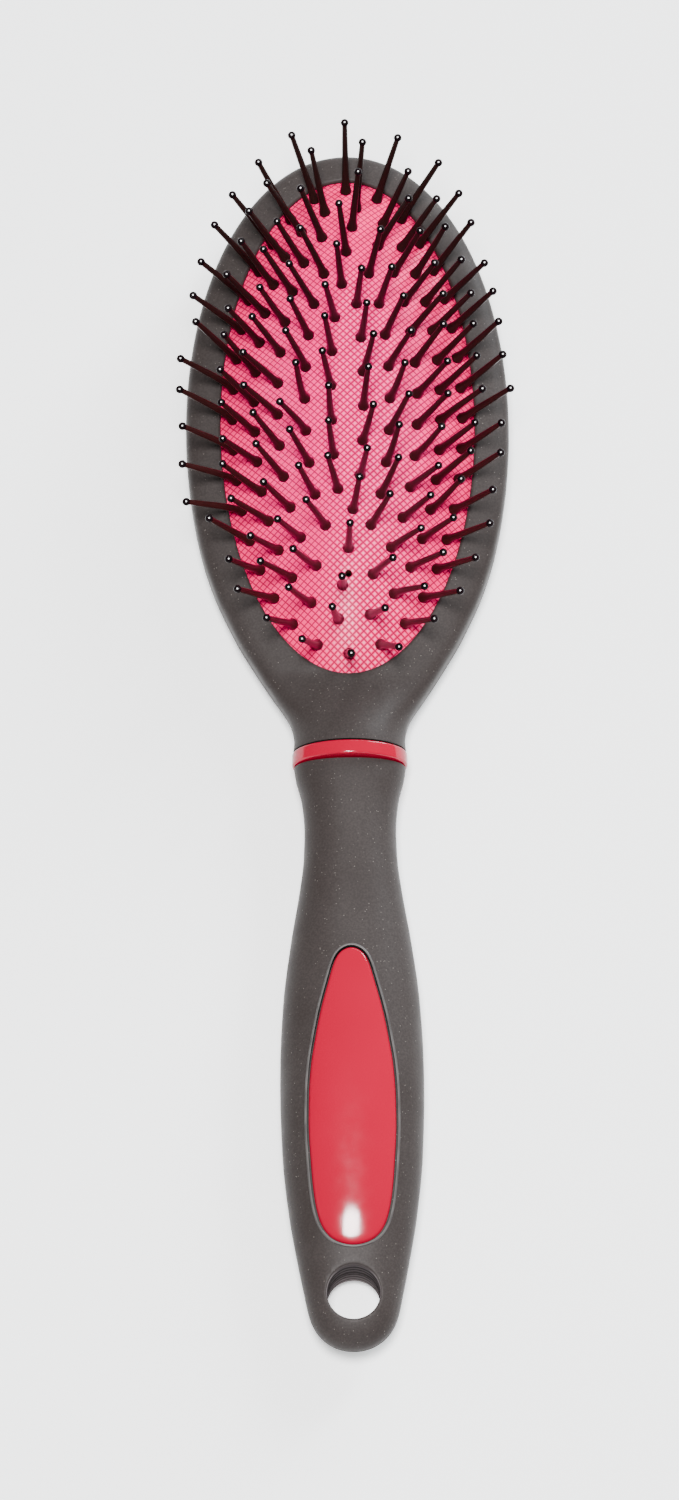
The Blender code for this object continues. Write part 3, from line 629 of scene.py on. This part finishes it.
class Shader:
    """A new material with its Principled BSDF and short calls to add nodes to it."""

    def __init__(self, name, **values):
        self.material = bpy.data.materials.new(name)
        self.material.use_nodes = True
        self.tree = self.material.node_tree
        self.bsdf = self.tree.nodes["Principled BSDF"]
        for socket, value in values.items():
            self.bsdf.inputs[socket.replace("_", " ")].default_value = value
        self.place = self.add("ShaderNodeTexCoord").outputs["Object"]

    def add(self, kind, **settings):
        node = self.tree.nodes.new(kind)
        for setting, value in settings.items():
            setattr(node, setting, value)
        return node

    def link(self, source, target):
        self.tree.links.new(source, target)

    def surface(self, socket, source):
        """Give one input of the surface, such as its base colour, what a node says."""
        self.link(source, self.bsdf.inputs[socket])

    def axis(self, name):
        """One coordinate of the place, in metres."""
        node = self.add("ShaderNodeSeparateXYZ")
        self.link(self.place, node.inputs["Vector"])
        return node.outputs[name]

    def noise(self, scale, detail=2):
        """Noise with about so many blotches to the metre."""
        node = self.add("ShaderNodeTexNoise")
        node.inputs["Scale"].default_value = scale
        node.inputs["Detail"].default_value = detail
        self.link(self.place, node.inputs["Vector"])
        return node.outputs["Fac"]

    def patches(self, scale, low, high):
        """Soft patches of noise between two greys or colours."""
        return self.ramp(self.noise(scale), (0.3, low), (0.7, high))

    def specks(self, scale, inner, outer):
        """Sparse round specks: 1 inside one distance, 0 outside the other."""
        node = self.add("ShaderNodeTexVoronoi")
        node.inputs["Scale"].default_value = scale
        self.link(self.place, node.inputs["Vector"])
        return self.ramp(node.outputs["Distance"], (inner, 1), (outer, 0))

    def diamonds(self, across, along):
        """Lattice of diamonds of a width and a length: 1 at their middles, 0 on the lines between them."""
        x = self.math("MULTIPLY", self.axis("X"), 2 * math.pi / across)
        y = self.math("MULTIPLY", self.axis("Y"), 2 * math.pi / along)
        rising = self.math("COSINE", self.math("ADD", x, y))
        falling = self.math("COSINE", self.math("SUBTRACT", x, y))
        return self.math("MULTIPLY_ADD", self.math("MINIMUM", rising, falling), 0.5, 0.5)

    def facing(self, direction):
        """How far the surface faces one fixed direction: 1 when square to it."""
        node = self.add("ShaderNodeVectorMath", operation="DOT_PRODUCT")
        self.link(self.add("ShaderNodeNewGeometry").outputs["Normal"], node.inputs[0])
        node.inputs[1].default_value = Vector(direction).normalized()
        return node.outputs["Value"]

    def ramp(self, source, *stops):
        """Map a value through (place, grey or colour) stops."""
        node = self.add("ShaderNodeValToRGB")
        elements = node.color_ramp.elements
        while len(elements) < len(stops):
            elements.new(0.5)
        for element, (place, level) in zip(elements, stops):
            element.position = place
            element.color = (level, level, level, 1) if isinstance(level, (int, float)) else (*level, 1)
        self.link(source, node.inputs["Fac"])
        return node.outputs["Color"]

    def mix(self, factor, first, second):
        """Blend two colours: the first at factor 0, the second at 1."""
        node = self.add("ShaderNodeMix", data_type="RGBA")
        sockets = [socket for socket in node.inputs if socket.enabled]
        for socket, value in zip(sockets, (factor, first, second)):
            self.feed(socket, value)
        return next(socket for socket in node.outputs if socket.enabled)

    def math(self, operation, *values):
        node = self.add("ShaderNodeMath", operation=operation)
        for socket, value in zip(node.inputs, values):
            self.feed(socket, value)
        return node.outputs["Value"]

    def feed(self, socket, value):
        """Link a node's output to a socket, or set a number or a colour there."""
        if isinstance(value, bpy.types.NodeSocket):
            self.link(value, socket)
        elif isinstance(value, tuple):
            socket.default_value = (*value, 1)
        else:
            socket.default_value = value

    def bump(self, height, strength, distance):
        """Raise the surface where a height is 1 by a distance in metres."""
        node = self.add("ShaderNodeBump")
        node.inputs["Strength"].default_value = strength
        node.inputs["Distance"].default_value = distance
        self.link(height, node.inputs["Height"])
        self.surface("Normal", node.outputs["Normal"])


def soft_touch_material():
    """Warm grey soft-touch coat: fine grain, a few paler specks of dust, slight shifts of tone."""
    shader = Shader("soft_touch", Roughness=0.50, Specular_IOR_Level=0.12)
    tone = shader.ramp(shader.noise(60), (0.35, COAT_DARK), (0.65, COAT_PALE))
    grainy = shader.ramp(shader.noise(2600, detail=1), (0.35, 0.6), (0.68, 1))
    mottled = shader.mix(grainy, COAT_GRAIN, tone)
    chosen = shader.ramp(shader.noise(800), (0.50, 0), (0.57, 1))
    dust = shader.math("MULTIPLY", shader.specks(1500, 0.10, 0.16), chosen)
    faint = shader.math("MULTIPLY", dust, 0.45)
    shader.surface("Base Color", shader.mix(faint, mottled, COAT_DUST))
    shader.surface("Roughness", shader.patches(220, 0.46, 0.54))
    shader.bump(shader.math("ADD", shader.noise(5200, detail=3), dust), 0.25, 0.00003)
    return shader.material


def bead_highlight_material():
    """Soft-touch coat along the raised lip round the insert: smoother, and paler as a painted highlight."""
    shader = Shader("soft_touch_bead_highlight", Roughness=0.42, Specular_IOR_Level=0.25)
    shader.surface("Base Color", shader.ramp(shader.noise(260), (0.35, BEAD_HIGHLIGHT_DARK), (0.65, BEAD_HIGHLIGHT_PALE)))
    shader.bump(shader.noise(5200, detail=3), 0.20, 0.00003)
    return shader.material


def hole_material():
    """Moulded wall of the hanging hole, with fine ridges round it and no gloss; its pale colour is painted
    reflection, paler on the crests and darker between them as painted light and shade.
    """
    shader = Shader("hole_wall", Roughness=0.9, Specular_IOR_Level=0)
    ridges = shader.math("SINE", shader.math("MULTIPLY", shader.axis("Z"), 2 * math.pi / HOLE_RIDGE))
    # Painted light and shade: pale on the ridges' crests, dark between them
    crest_light = shader.math("MULTIPLY_ADD", ridges, 0.5, 0.5)
    shader.surface("Base Color", shader.ramp(crest_light, (0.2, HOLE_SHADED_TROUGH), (0.8, HOLE_LIT_CREST)))
    shader.bump(ridges, 0.5, 0.0001)
    return shader.material


def rubber_material():
    """Pink rubber of the cushion: paler towards its crown and darker towards its edges as painted light and
    shade, darker in the weave's grooves as painted shade.

    The middles of the weave's diamonds carry a painted highlight, pale where they face up and to the
    handle.
    """
    shader = Shader("cushion_rubber", Roughness=0.24, Specular_IOR_Level=0.05, Subsurface_Weight=0.05,
                    Subsurface_Scale=0.001)
    across = shader.math("DIVIDE", shader.axis("X"), PAD_HALF_WIDTH)
    along = shader.math("DIVIDE", shader.math("SUBTRACT", shader.axis("Y"), PAD_CENTRE_Y), PAD_HALF_LENGTH)
    reach = shader.math("ADD", shader.math("POWER", across, 2), shader.math("POWER", along, 2))
    # Painted light and shade: paler towards the crown, darker towards the edges
    crown_light_edge_shade = shader.ramp(reach, (0.10, PINK_LIT_CROWN), (0.95, PINK_SHADED_EDGE))
    tone = shader.mix(shader.patches(90, 0, 0.12), crown_light_edge_shade, PINK_PATCH)
    # Painted shade: darker in the weave's grooves
    groove_shade = shader.mix(0.80, crown_light_edge_shade, PINK_GROOVE_SHADE)
    weave = shader.diamonds(WEAVE_ACROSS, WEAVE_ALONG)
    flats = shader.ramp(weave, (0.01, 0), (0.17, 1))
    middles = shader.ramp(weave, (0.46, 0), (0.66, 1))
    # Painted highlight: pale dots where the diamonds' middles face one fixed way
    highlight_facing = shader.ramp(shader.facing(WEAVE_HIGHLIGHT_WAY), (0.945, 0), (0.997, 0.42))
    highlight_dots = shader.math("MULTIPLY", middles, highlight_facing)
    shader.surface("Base Color", shader.mix(highlight_dots, shader.mix(flats, groove_shade, tone), PINK_HIGHLIGHT))
    shader.surface("Roughness", shader.patches(700, 0.20, 0.28))
    grain = shader.math("MULTIPLY", shader.noise(3600), 0.10)
    shader.bump(shader.math("ADD", flats, grain), 0.50, 0.00012)
    return shader.material


def nylon_material():
    """Dark maroon nylon of the pins, a little translucent; painted light and shade make it redder towards
    the neck and darker at the top.
    """
    shader = Shader("pin_nylon", Roughness=0.28, Specular_IOR_Level=0.06, Subsurface_Weight=0.1,
                    Subsurface_Scale=0.0005)
    from_foot = shader.math("SUBTRACT", shader.axis("Y"), PAD_CENTRE_Y - PAD_HALF_LENGTH)
    along = shader.math("DIVIDE", from_foot, 2 * PAD_HALF_LENGTH)
    # Painted light and shade: the same nylon redder towards the neck than at the top
    tone = shader.ramp(along, (0.15, MAROON_LIT_NECK_END), (0.75, MAROON_SHADED_TOP_END))
    shader.surface("Base Color", shader.mix(shader.patches(500, 0, 0.35), tone, MAROON_PATCH))
    shader.bump(shader.noise(2500), 0.10, 0.00003)
    return shader.material


def ball_material():
    """Black ball tips, each with a pale painted highlight on the side that faces up and to the handle."""
    shader = Shader("pin_ball", Roughness=0.15, Specular_IOR_Level=0.02)
    # Painted highlight: a pale spot where the ball faces one fixed way
    painted_highlight = shader.ramp(shader.facing(BALL_HIGHLIGHT_WAY), (0.974, 0), (0.992, 1))
    tone = shader.patches(900, BALL_DARK, BALL_PALE)
    shader.surface("Base Color", shader.mix(painted_highlight, tone, BALL_HIGHLIGHT))
    return shader.material


def accent_material():
    """Glossy red-pink plastic with the faint ripple of a moulded face."""
    shader = Shader("accent_plastic", Roughness=0.12, Specular_IOR_Level=0.30)
    shader.surface("Base Color", shader.patches(45, ACCENT_DARK, ACCENT_PALE))
    shader.surface("Roughness", shader.patches(400, 0.10, 0.14))
    shader.bump(shader.noise(320), 0.05, 0.0001)
    return shader.material


def inner_material():
    """Plain dark moulded plastic of the parts inside."""
    shader = Shader("inner_plastic", Roughness=0.5)
    shader.surface("Base Color", shader.patches(120, INNER_DARK, INNER_PALE))
    shader.bump(shader.noise(2400), 0.2, 0.00004)
    return shader.material


def floor_material():
    """Nearly white ground that glows a little."""
    shader = Shader("floor", Roughness=0.9, Specular_IOR_Level=0.2, Emission_Strength=FLOOR_GLOW)
    tone = shader.patches(3, 0.90, 0.92)
    shader.surface("Base Color", tone)
    shader.surface("Emission Color", tone)
    return shader.material


# Rings and cutters

def oval_ring(half_width, height, share=1):
    """Ring of points on an oval of the pad, drawn in by a share, at a height that may follow a skin."""
    oval = [oval_place(half_width, turn) for turn in full_turn(PRISM_STEPS)]
    return raised([(share * x, PAD_CENTRE_Y + share * (y - PAD_CENTRE_Y)) for x, y in oval], height)


def hole_ring(radius, height):
    """Ring of points round the hanging hole, at a height that may follow a skin."""
    circle = [(radius * math.sin(turn), HOLE_Y + radius * math.cos(turn)) for turn in full_turn(HOLE_STEPS)]
    return raised(circle, height)


def mouth(ring, reach, lip, skin, side, end):
    """Rings of a cutter from a wall's edge, rounded over into a skin, out to a height past it.

    The side is 1 where the skin faces up, and -1 where it faces down.
    """
    rings = []
    for out, drop in rounding(lip, MOUTH_TURN, EDGE_STEPS):
        rings.append(ring(reach + out, lambda point: skin(point) - side * drop))
    widest = reach + out + lip * math.sin(MOUTH_TURN)
    rise = side * (lip * math.cos(MOUTH_TURN) - drop)
    return rings + [ring(widest, lambda point: skin(point) + rise), ring(widest, end)]


def opening_cutter():
    """Opening for the cushion, whose edge rounds over into the front of the head."""
    def skin(point):
        return head_height(point.y, min(abs(point.x) / head_half_width(point.y), 1), True)

    wall = [oval_ring(PAD_HALF_WIDTH, HEAD_SEAM_Z)]
    rounded = mouth(oval_ring, PAD_HALF_WIDTH, LIP_ROUND, skin, 1, HEAD_FRONT_Z + OVERRUN)
    return loft("opening", wall + rounded)


def hole_cutter():
    """Hanging hole whose two mouths round over into the handle's skin."""
    mouths = []
    for side in (1, -1):
        end = NECK_AXIS_Z + side * 2 * HANDLE_BACK_DROP
        mouths.append(mouth(hole_ring, HOLE_RADIUS, HOLE_LIP,
                            lambda point: handle_height(point.x, point.y, side > 0), side, end))
    front, back = mouths
    return loft("hole", front[::-1] + back)


def core_hole():
    """Channel for the bar that joins head and handle."""
    clearance = Vector((GAP, GAP, GAP))
    return block("core_hole", core_low - clearance, core_high + clearance)


def slab(low, high):
    """A block wider and longer than the brush, between two heights."""
    return block("slab", Vector((-LENGTH, -LENGTH, low)), Vector((LENGTH, LENGTH, high)))


# Head

def head_envelope(name):
    """Whole skin of the head, front and back, from the ring to the top."""
    flare = HEAD_FOOT_Y + NECK_RUN + FRAME_FOOT
    stations = even_places(HEAD_FOOT_Y, flare - HEAD_FOOT_Y, NECK_STEPS)
    stations += even_places(flare, PAD_CENTRE_Y - flare, FOOT_STEPS)
    stations += closing_places(PAD_CENTRE_Y, HEAD_TOP_REACH, TOP_STEPS)
    tip = [Vector((0, PAD_CENTRE_Y + HEAD_TOP_REACH, HEAD_SEAM_Z))]
    return loft(name, [head_section(y) for y in stations] + [tip])


def build_head(soft_touch):
    """Front frame with its opening and its recess, and the hollow cover behind it."""
    front = add_object("head_front", head_envelope("head_front"))
    cut(front, slab(HEAD_SEAM_Z + GAP / 2, LENGTH), "INTERSECT")
    cut(front, opening_cutter())
    cut(front, loft("recess", [oval_ring(RECESS_HALF_WIDTH, height) for height in (0, LIP_UNDER_Z)]))
    cut(front, core_hole())
    finish_piece(front, "brush", "soft_touch", soft_touch, "head_frame")

    back = add_object("head_back", head_envelope("head_back"))
    cut(back, slab(0, HEAD_SEAM_Z - GAP / 2), "INTERSECT")
    half_width = CLAMP_HALF_WIDTH - BACK_COVER_LEDGE
    floor = oval_ring(half_width, BACK_COVER_FLOOR, CHAMBER_FLOOR_SHARE)
    cut(back, loft("chamber", [floor, oval_ring(half_width, HEAD_SEAM_Z)]))
    cut(back, core_hole())
    finish_piece(back, "brush", "soft_touch", soft_touch, "head_back_cover")


# Neck ring, handle and insert

def build_ring(accent):
    """Collar whose edges are rounded over, slightly proud of the head and the handle."""
    edge = rounding(RING_EDGE, QUARTER_TURN, EDGE_STEPS)
    rows = [(ring_low.y + along, inset) for along, inset in edge]
    rows += [(ring_high.y - along, inset) for along, inset in reversed(edge)]
    sections = []
    for y, inset in rows:
        half_width = RING_HALF_WIDTH - inset
        half_thickness = RING_HALF_THICKNESS - inset
        sections.append([
            Vector((half_width * math.cos(turn), y, NECK_AXIS_Z + half_thickness * math.sin(turn)))
            for turn in full_turn(PRISM_STEPS)
        ])
    ring = add_object("neck_ring", loft("neck_ring", sections))
    cut(ring, core_hole())
    finish_piece(ring, "brush", "accent_plastic", accent, "accent_ring")


def handle_envelope(name):
    """Whole skin of the handle, front and back, from the ring to its free end."""
    shares = even_places(0, HANDLE_END_SHARE, HANDLE_STEPS)
    shares += closing_places(HANDLE_END_SHARE, 1 - HANDLE_END_SHARE, HANDLE_END_STEPS)
    tip = [Vector((0, HANDLE_END_Y, NECK_AXIS_Z))]
    return loft(name, [handle_section(share) for share in shares] + [tip])


def bead(outline):
    """Thin tube along the pocket's edge, sunk in the grip so that only a low round lip stands proud."""
    bm = bmesh.new()
    rings = []
    for point, outward in with_outward(outline):
        z = handle_height(point.x, point.y) + BEAD_PROUD - BEAD_RADIUS
        centre = Vector((point.x, point.y, z))
        ring = []
        for turn in full_turn(BEAD_SIDES):
            way = math.cos(turn) * outward.to_3d() + Vector((0, 0, math.sin(turn)))
            ring.append(bm.verts.new(centre + BEAD_RADIUS * way))
        rings.append(ring)
    skin_rings(bm, rings + rings[:1])
    return mesh_from_bmesh("bead", bm)


def in_hole(point):
    """Whether a point is on the wall of the hanging hole."""
    return math.hypot(point.x, point.y - HOLE_Y) < HOLE_WALL_REACH


def on_bead(point):
    """Whether a point is on the bead where it stands proud of the grip."""
    beside = abs(point.x) < INSERT_HALF_WIDTH + BEAD_HIGHLIGHT_REACH
    along = insert_low.y - BEAD_HIGHLIGHT_REACH < point.y < insert_high.y + BEAD_HIGHLIGHT_REACH
    return beside and along and point.z > handle_height(point.x, point.y) + BEAD_HIGHLIGHT_PROUD


def build_handle(soft_touch):
    """Two half shells: the front one has the insert's pocket and its bead, and both have the hole."""
    lip = bead_highlight_material()
    painted_hole_wall = hole_material()
    front = add_object("grip_front", handle_envelope("grip_front"))
    cut(front, slab(NECK_AXIS_Z + GAP / 2, LENGTH), "INTERSECT")
    cut(front, bead(insert_outline(GAP + BEAD_RADIUS * BEAD_OFFSET_SHARE)), "UNION")
    heights = (INSERT_FLOOR_Z - GAP, NECK_AXIS_Z + 2 * HANDLE_FRONT_RISE)
    cut(front, loft("pocket", [raised(insert_outline(GAP), z) for z in heights]))
    cut(front, hole_cutter())
    cut(front, core_hole())
    finish_piece(front, "brush", "soft_touch", soft_touch, "handle_front_shell")
    # Painted reflection and shade on the hole's wall
    paint_faces(front, painted_hole_wall, in_hole)
    # Painted highlight along the bead where it stands proud of the grip
    paint_faces(front, lip, on_bead)

    back = add_object("grip_back", handle_envelope("grip_back"))
    cut(back, slab(-LENGTH, NECK_AXIS_Z - GAP / 2), "INTERSECT")
    cut(back, hole_cutter())
    cut(back, core_hole())
    finish_piece(back, "brush", "soft_touch", soft_touch, "handle_back_shell")
    paint_faces(back, painted_hole_wall, in_hole)


def insert_height(x, y):
    """Height of the insert's face: the grip's own, but for the lower end, which rolls in."""
    beyond = max(1 - (y - insert_low.y) / INSERT_ROLL_RUN, 0)
    return handle_height(x, y) - INSERT_ROLL * beyond ** 2


def insert_points():
    """Grid of points on the insert's face, clear of its rounded edge."""
    points = []
    margin = INSERT_EDGE + INSERT_GRID / 2
    rows = int(INSERT_LENGTH / INSERT_GRID)
    columns = int(INSERT_HALF_WIDTH / INSERT_GRID)
    for i in range(1, rows):
        share = i / rows
        turn_share = math.acos(1 - 2 * share) / math.pi
        free = INSERT_HALF_WIDTH * eased(INSERT_SHARES, turn_share) - margin
        y = insert_high.y - share * INSERT_LENGTH
        for j in range(-columns, columns + 1):
            x = j * INSERT_GRID
            if abs(x) < free and min(insert_high.y - y, y - insert_low.y) > margin:
                points.append(Vector((x, y, insert_height(x, y))))
    return points


def build_insert(accent):
    """Crowned plate that follows the grip, its edge rounded over and its lower end rolled in."""
    loops = []
    for inset, drop in rounding(INSERT_EDGE, QUARTER_TURN, INSERT_EDGE_STEPS):
        loops.append(raised(insert_outline(-inset), lambda point: insert_height(point.x, point.y) - drop))
    floor = raised(insert_outline(0), INSERT_FLOOR_Z)
    top = sheet(loops[0], loops=loops[1:], inner=insert_points())
    under = sheet(floor)
    insert = add_object("grip_insert", closed_sheet("grip_insert", top, under, [len(floor)]))
    finish_piece(insert, "brush", "accent_plastic", accent, "handle_insert")


# Cushion and pins

def vent_place():
    """Where the vent hole is along the brush: at the foot of its own oval of the cushion."""
    half_width = PAD_HALF_WIDTH * VENT_OVAL_SHARE
    return oval_centre(half_width) - oval_half_length(half_width)


def vent_ring(vent_y, radius, drop):
    """Ring of points round the vent hole, sunk below the dome by a drop."""
    places = [(radius * math.cos(turn), vent_y + radius * math.sin(turn)) for turn in full_turn(VENT_STEPS)]
    return [Vector((x, y, dome_height(oval_through(x, y)) - drop)) for x, y in places]


def weave_height(x, y):
    """Raised diamonds of the embossed weave, WEAVE_ACROSS wide and WEAVE_ALONG long."""
    rising = math.cos(2 * math.pi * (x / WEAVE_ACROSS + y / WEAVE_ALONG))
    falling = math.cos(2 * math.pi * (x / WEAVE_ACROSS - y / WEAVE_ALONG))
    return WEAVE_DEPTH * (rising + falling) / 4


def woven_points(vent_y):
    """Points of the cushion's face on the tops and in the grooves of its weave, round the vent hole."""
    points = []
    step_x = WEAVE_ACROSS / WEAVE_POINTS
    step_y = WEAVE_ALONG / WEAVE_POINTS
    middle = 2 * round(PAD_CENTRE_Y / step_y / 2)
    columns = int(PAD_HALF_WIDTH / step_x)
    rows = int(PAD_HALF_LENGTH / step_y)
    for j in range(-rows, rows + 1):
        y = (j + middle) * step_y
        for i in range(-columns, columns + 1):
            x = i * step_x
            if (i + j) % 2 or math.hypot(x, y - vent_y) < VENT_RADIUS * VENT_CLEAR_SHARE:
                continue
            oval = oval_through(x, y)
            if oval < FACE_HALF_WIDTH - step_x:
                fade = smooth_step(0, WEAVE_EDGE, FACE_HALF_WIDTH - oval)
                points.append(Vector((x, y, dome_height(oval) + fade * weave_height(x, y))))
    return points


def lining_points(vent_y):
    """Coarser grid of points on the cushion's plain underside."""
    points = []
    for j in range(int(2 * PAD_HALF_LENGTH / UNDER_GRID)):
        for i in range(int(2 * PAD_HALF_WIDTH / UNDER_GRID)):
            x = (i + 0.5) * UNDER_GRID - PAD_HALF_WIDTH
            y = (j + 0.5) * UNDER_GRID - PAD_HALF_LENGTH + PAD_CENTRE_Y
            oval = oval_through(x, y)
            if oval < FACE_HALF_WIDTH - UNDER_GRID / 2 and math.hypot(x, y - vent_y) > UNDER_GRID / 2:
                points.append(Vector((x, y, dome_height(oval) - CUSHION_THICKNESS)))
    return points


def build_cushion(rubber, vent_shade):
    """One inflated membrane with an embossed weave and an air hole, clamped under the lip."""
    vent_y = vent_place()
    vent = [vent_ring(vent_y, VENT_RADIUS * wide, VENT_RADIUS * deep) for wide, deep in VENT_MOUTH_SHARES]
    clamped = [oval_ring(reach, dome_height(reach)) for reach in (PAD_HALF_WIDTH, FACE_HALF_WIDTH)]
    outer = oval_ring(CLAMP_HALF_WIDTH, CUSHION_RIM_Z)
    top = sheet(outer, vent[:1], clamped + vent[1:], woven_points(vent_y))

    foot = oval_ring(CLAMP_HALF_WIDTH, rim_low.z)
    collar = oval_ring(FACE_HALF_WIDTH - GAP, dome_height(FACE_HALF_WIDTH) - CUSHION_THICKNESS)
    vent_foot = vent_ring(vent_y, VENT_RADIUS, CUSHION_THICKNESS)
    under = sheet(foot, [vent_foot], [collar], lining_points(vent_y))

    def in_vent(point):
        return math.hypot(point.x, point.y - vent_y) < VENT_RADIUS * VENT_WALL_SHARE

    cushion = add_object("cushion", closed_sheet("cushion", top, under, [PRISM_STEPS, VENT_STEPS]))
    finish_piece(cushion, "brush", "cushion_rubber", rubber, "cushion_rim", sharp=ROUND_SHARP)
    # Painted shade: the vent's wall takes the dark maroon nylon, for the shade inside the hole
    paint_faces(cushion, vent_shade, in_vent)
    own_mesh(cushion)


def pin_places(half_width, count, start):
    """Feet at equal steps round one oval, the first a share of a step past its top."""
    ways = [2 * math.pi * i / ARC_SAMPLES for i in range(ARC_SAMPLES + 1)]
    track = [oval_place(half_width, turn) for turn in ways]
    travelled = [0]
    for before, after in zip(track, track[1:]):
        travelled.append(travelled[-1] + math.dist(before, after))
    places = []
    k = 0
    for i in range(count):
        wanted = travelled[-1] * (i + start) / count
        while travelled[k + 1] < wanted:
            k += 1
        part = (wanted - travelled[k]) / (travelled[k + 1] - travelled[k])
        places.append(oval_place(half_width, ways[k] + part * (ways[k + 1] - ways[k])))
    return places


def turned_body(bm, profile, way):
    """Turn a profile of (height, radius) about a bent way, and close its two ends."""
    rings = []
    circle = [(math.cos(angle), math.sin(angle)) for angle in full_turn(PIN_SIDES)]
    for height, radius in profile:
        centre, turn = way(height)
        rings.append([bm.verts.new(centre + turn @ Vector((radius * x, radius * y, 0))) for x, y in circle])
    skin_rings(bm, rings)
    bm.faces.new(rings[0])
    bm.faces.new(rings[-1])


def bent_way(foot, direction, out, bend):
    """A pin's middle line: straight at the foot, then leaning by a bend that ends half way up."""
    step = PIN_LENGTH / BEND_STEPS
    upright = Vector((0, 0, 1))
    axis = direction.cross(out).normalized()
    places = [foot.copy()]
    turns = []
    for i in range(BEND_STEPS + 1):
        angle = bend * smooth_step(0, PIN_LENGTH / 2, i * step)
        leaning = Quaternion(axis, angle) @ direction
        turns.append(upright.rotation_difference(leaning))
        places.append(places[-1] + leaning * step)

    def way(height):
        if height <= 0:
            return foot + direction * height, turns[0]
        i = min(int(height / step), BEND_STEPS - 1)
        part = height / step - i
        return places[i].lerp(places[i + 1], part), turns[i].slerp(turns[i + 1], part)

    return way


def ball_profile():
    """Heights and radii of the ball at the tip of a pin."""
    middle = PIN_LENGTH - PIN_BALL_RADIUS
    profile = []
    for k in range(BALL_RINGS):
        turn = math.pi * (k + 0.5) / BALL_RINGS
        profile.append((middle - PIN_BALL_RADIUS * math.cos(turn), PIN_BALL_RADIUS * math.sin(turn)))
    return profile


def build_pins(nylon, black):
    """Five ovals of pins with ball tips, each oval riding on its own slice of the cushion."""
    dice = random.Random(PIN_SEED)
    ball = ball_profile()
    for i, (share, count, start) in enumerate(zip(PIN_OVAL_SHARES, PIN_COUNTS, PIN_START_SHARES)):
        oval = PAD_HALF_WIDTH * share
        pins = bmesh.new()
        balls = bmesh.new()
        for k, (x, y) in enumerate(pin_places(oval, count, start)):
            normal = dome_normal(oval, x, y)
            wobble = Vector((dice.gauss(0, 1), dice.gauss(0, 1), 0)) * math.tan(PIN_WOBBLE)
            direction = (normal + wobble).normalized()
            out = Vector((normal.x, normal.y, 0)).normalized()
            bend = dice.gauss(0, PIN_WOBBLE)
            if i == 0 and k in LEANING_PINS:
                bend = LEAN
            way = bent_way(Vector((x, y, dome_height(oval))), direction, out, bend)
            turned_body(pins, PIN_PROFILE, way)
            turned_body(balls, ball, way)
        body = f"cushion_oval_{i + 1}"
        piece = add_object(f"pins_oval_{i + 1}", mesh_from_bmesh("pins", pins))
        finish_piece(piece, body, "pin_nylon", nylon, f"pin_ring_{i + 1}", sharp=ROUND_SHARP)
        tips = add_object(f"pin_tips_oval_{i + 1}", mesh_from_bmesh("tips", balls))
        finish_piece(tips, body, "pin_nylon", black, sharp=ROUND_SHARP)


# Floor, light and camera

def build_floor():
    bm = bmesh.new()
    bmesh.ops.create_grid(bm, x_segments=1, y_segments=1, size=FLOOR_HALF_SIZE)
    floor = add_object("floor", mesh_from_bmesh("floor", bm))
    floor.data.materials.append(floor_material())


def build_world():
    """Dim, even light from all round."""
    world = bpy.data.worlds.new("studio")
    world.use_nodes = True
    background = world.node_tree.nodes["Background"]
    background.inputs["Color"].default_value = (*WHITE, 1)
    background.inputs["Strength"].default_value = WORLD_STRENGTH
    bpy.context.scene.world = world


def aim(obj, place, target):
    """Put a lamp or a camera in its place and point it at a target."""
    obj.location = place
    obj.rotation_euler = (target - place).to_track_quat("-Z", "Y").to_euler()


def add_lamp(name, place, width, length, power, colour, shape="RECTANGLE"):
    lamp = bpy.data.lights.new(name, "AREA")
    lamp.shape = shape
    lamp.size = width
    lamp.size_y = length
    lamp.energy = power
    lamp.color = colour
    obj = add_object(name, lamp)
    aim(obj, Vector(place), Vector((0, 0, 0)))


def build_camera():
    """Camera high in front of the brush, as the photograph was taken."""
    data = bpy.data.cameras.new("camera")
    data.sensor_fit = "VERTICAL"
    data.sensor_height = CAMERA_SENSOR
    data.lens = CAMERA_SENSOR * CAMERA_FOCAL_SHARE
    data.clip_start = CAMERA_NEAR
    camera = add_object("camera", data)
    target = Vector((CAMERA_AIM_X, CAMERA_AIM_Y, 0))
    back = Vector((0, -math.cos(CAMERA_RISE), math.sin(CAMERA_RISE)))
    aim(camera, target + CAMERA_DISTANCE * back, target)
    camera.rotation_euler.rotate_axis("Z", -CAMERA_ROLL)
    bpy.context.scene.camera = camera


def main():
    soft_touch = soft_touch_material()
    accent = accent_material()
    build_camera()
    build_floor()
    build_world()
    for lamp in LAMPS:
        add_lamp(*lamp)
    build_head(soft_touch)
    build_ring(accent)
    build_handle(soft_touch)
    build_insert(accent)
    nylon = nylon_material()
    build_pins(nylon, ball_material())
    build_cushion(rubber_material(), nylon)
    inner = inner_material()
    for node in ("cushion_tray", "neck_core"):
        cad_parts[node].data.materials.clear()
        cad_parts[node].data.materials.append(inner)


main()
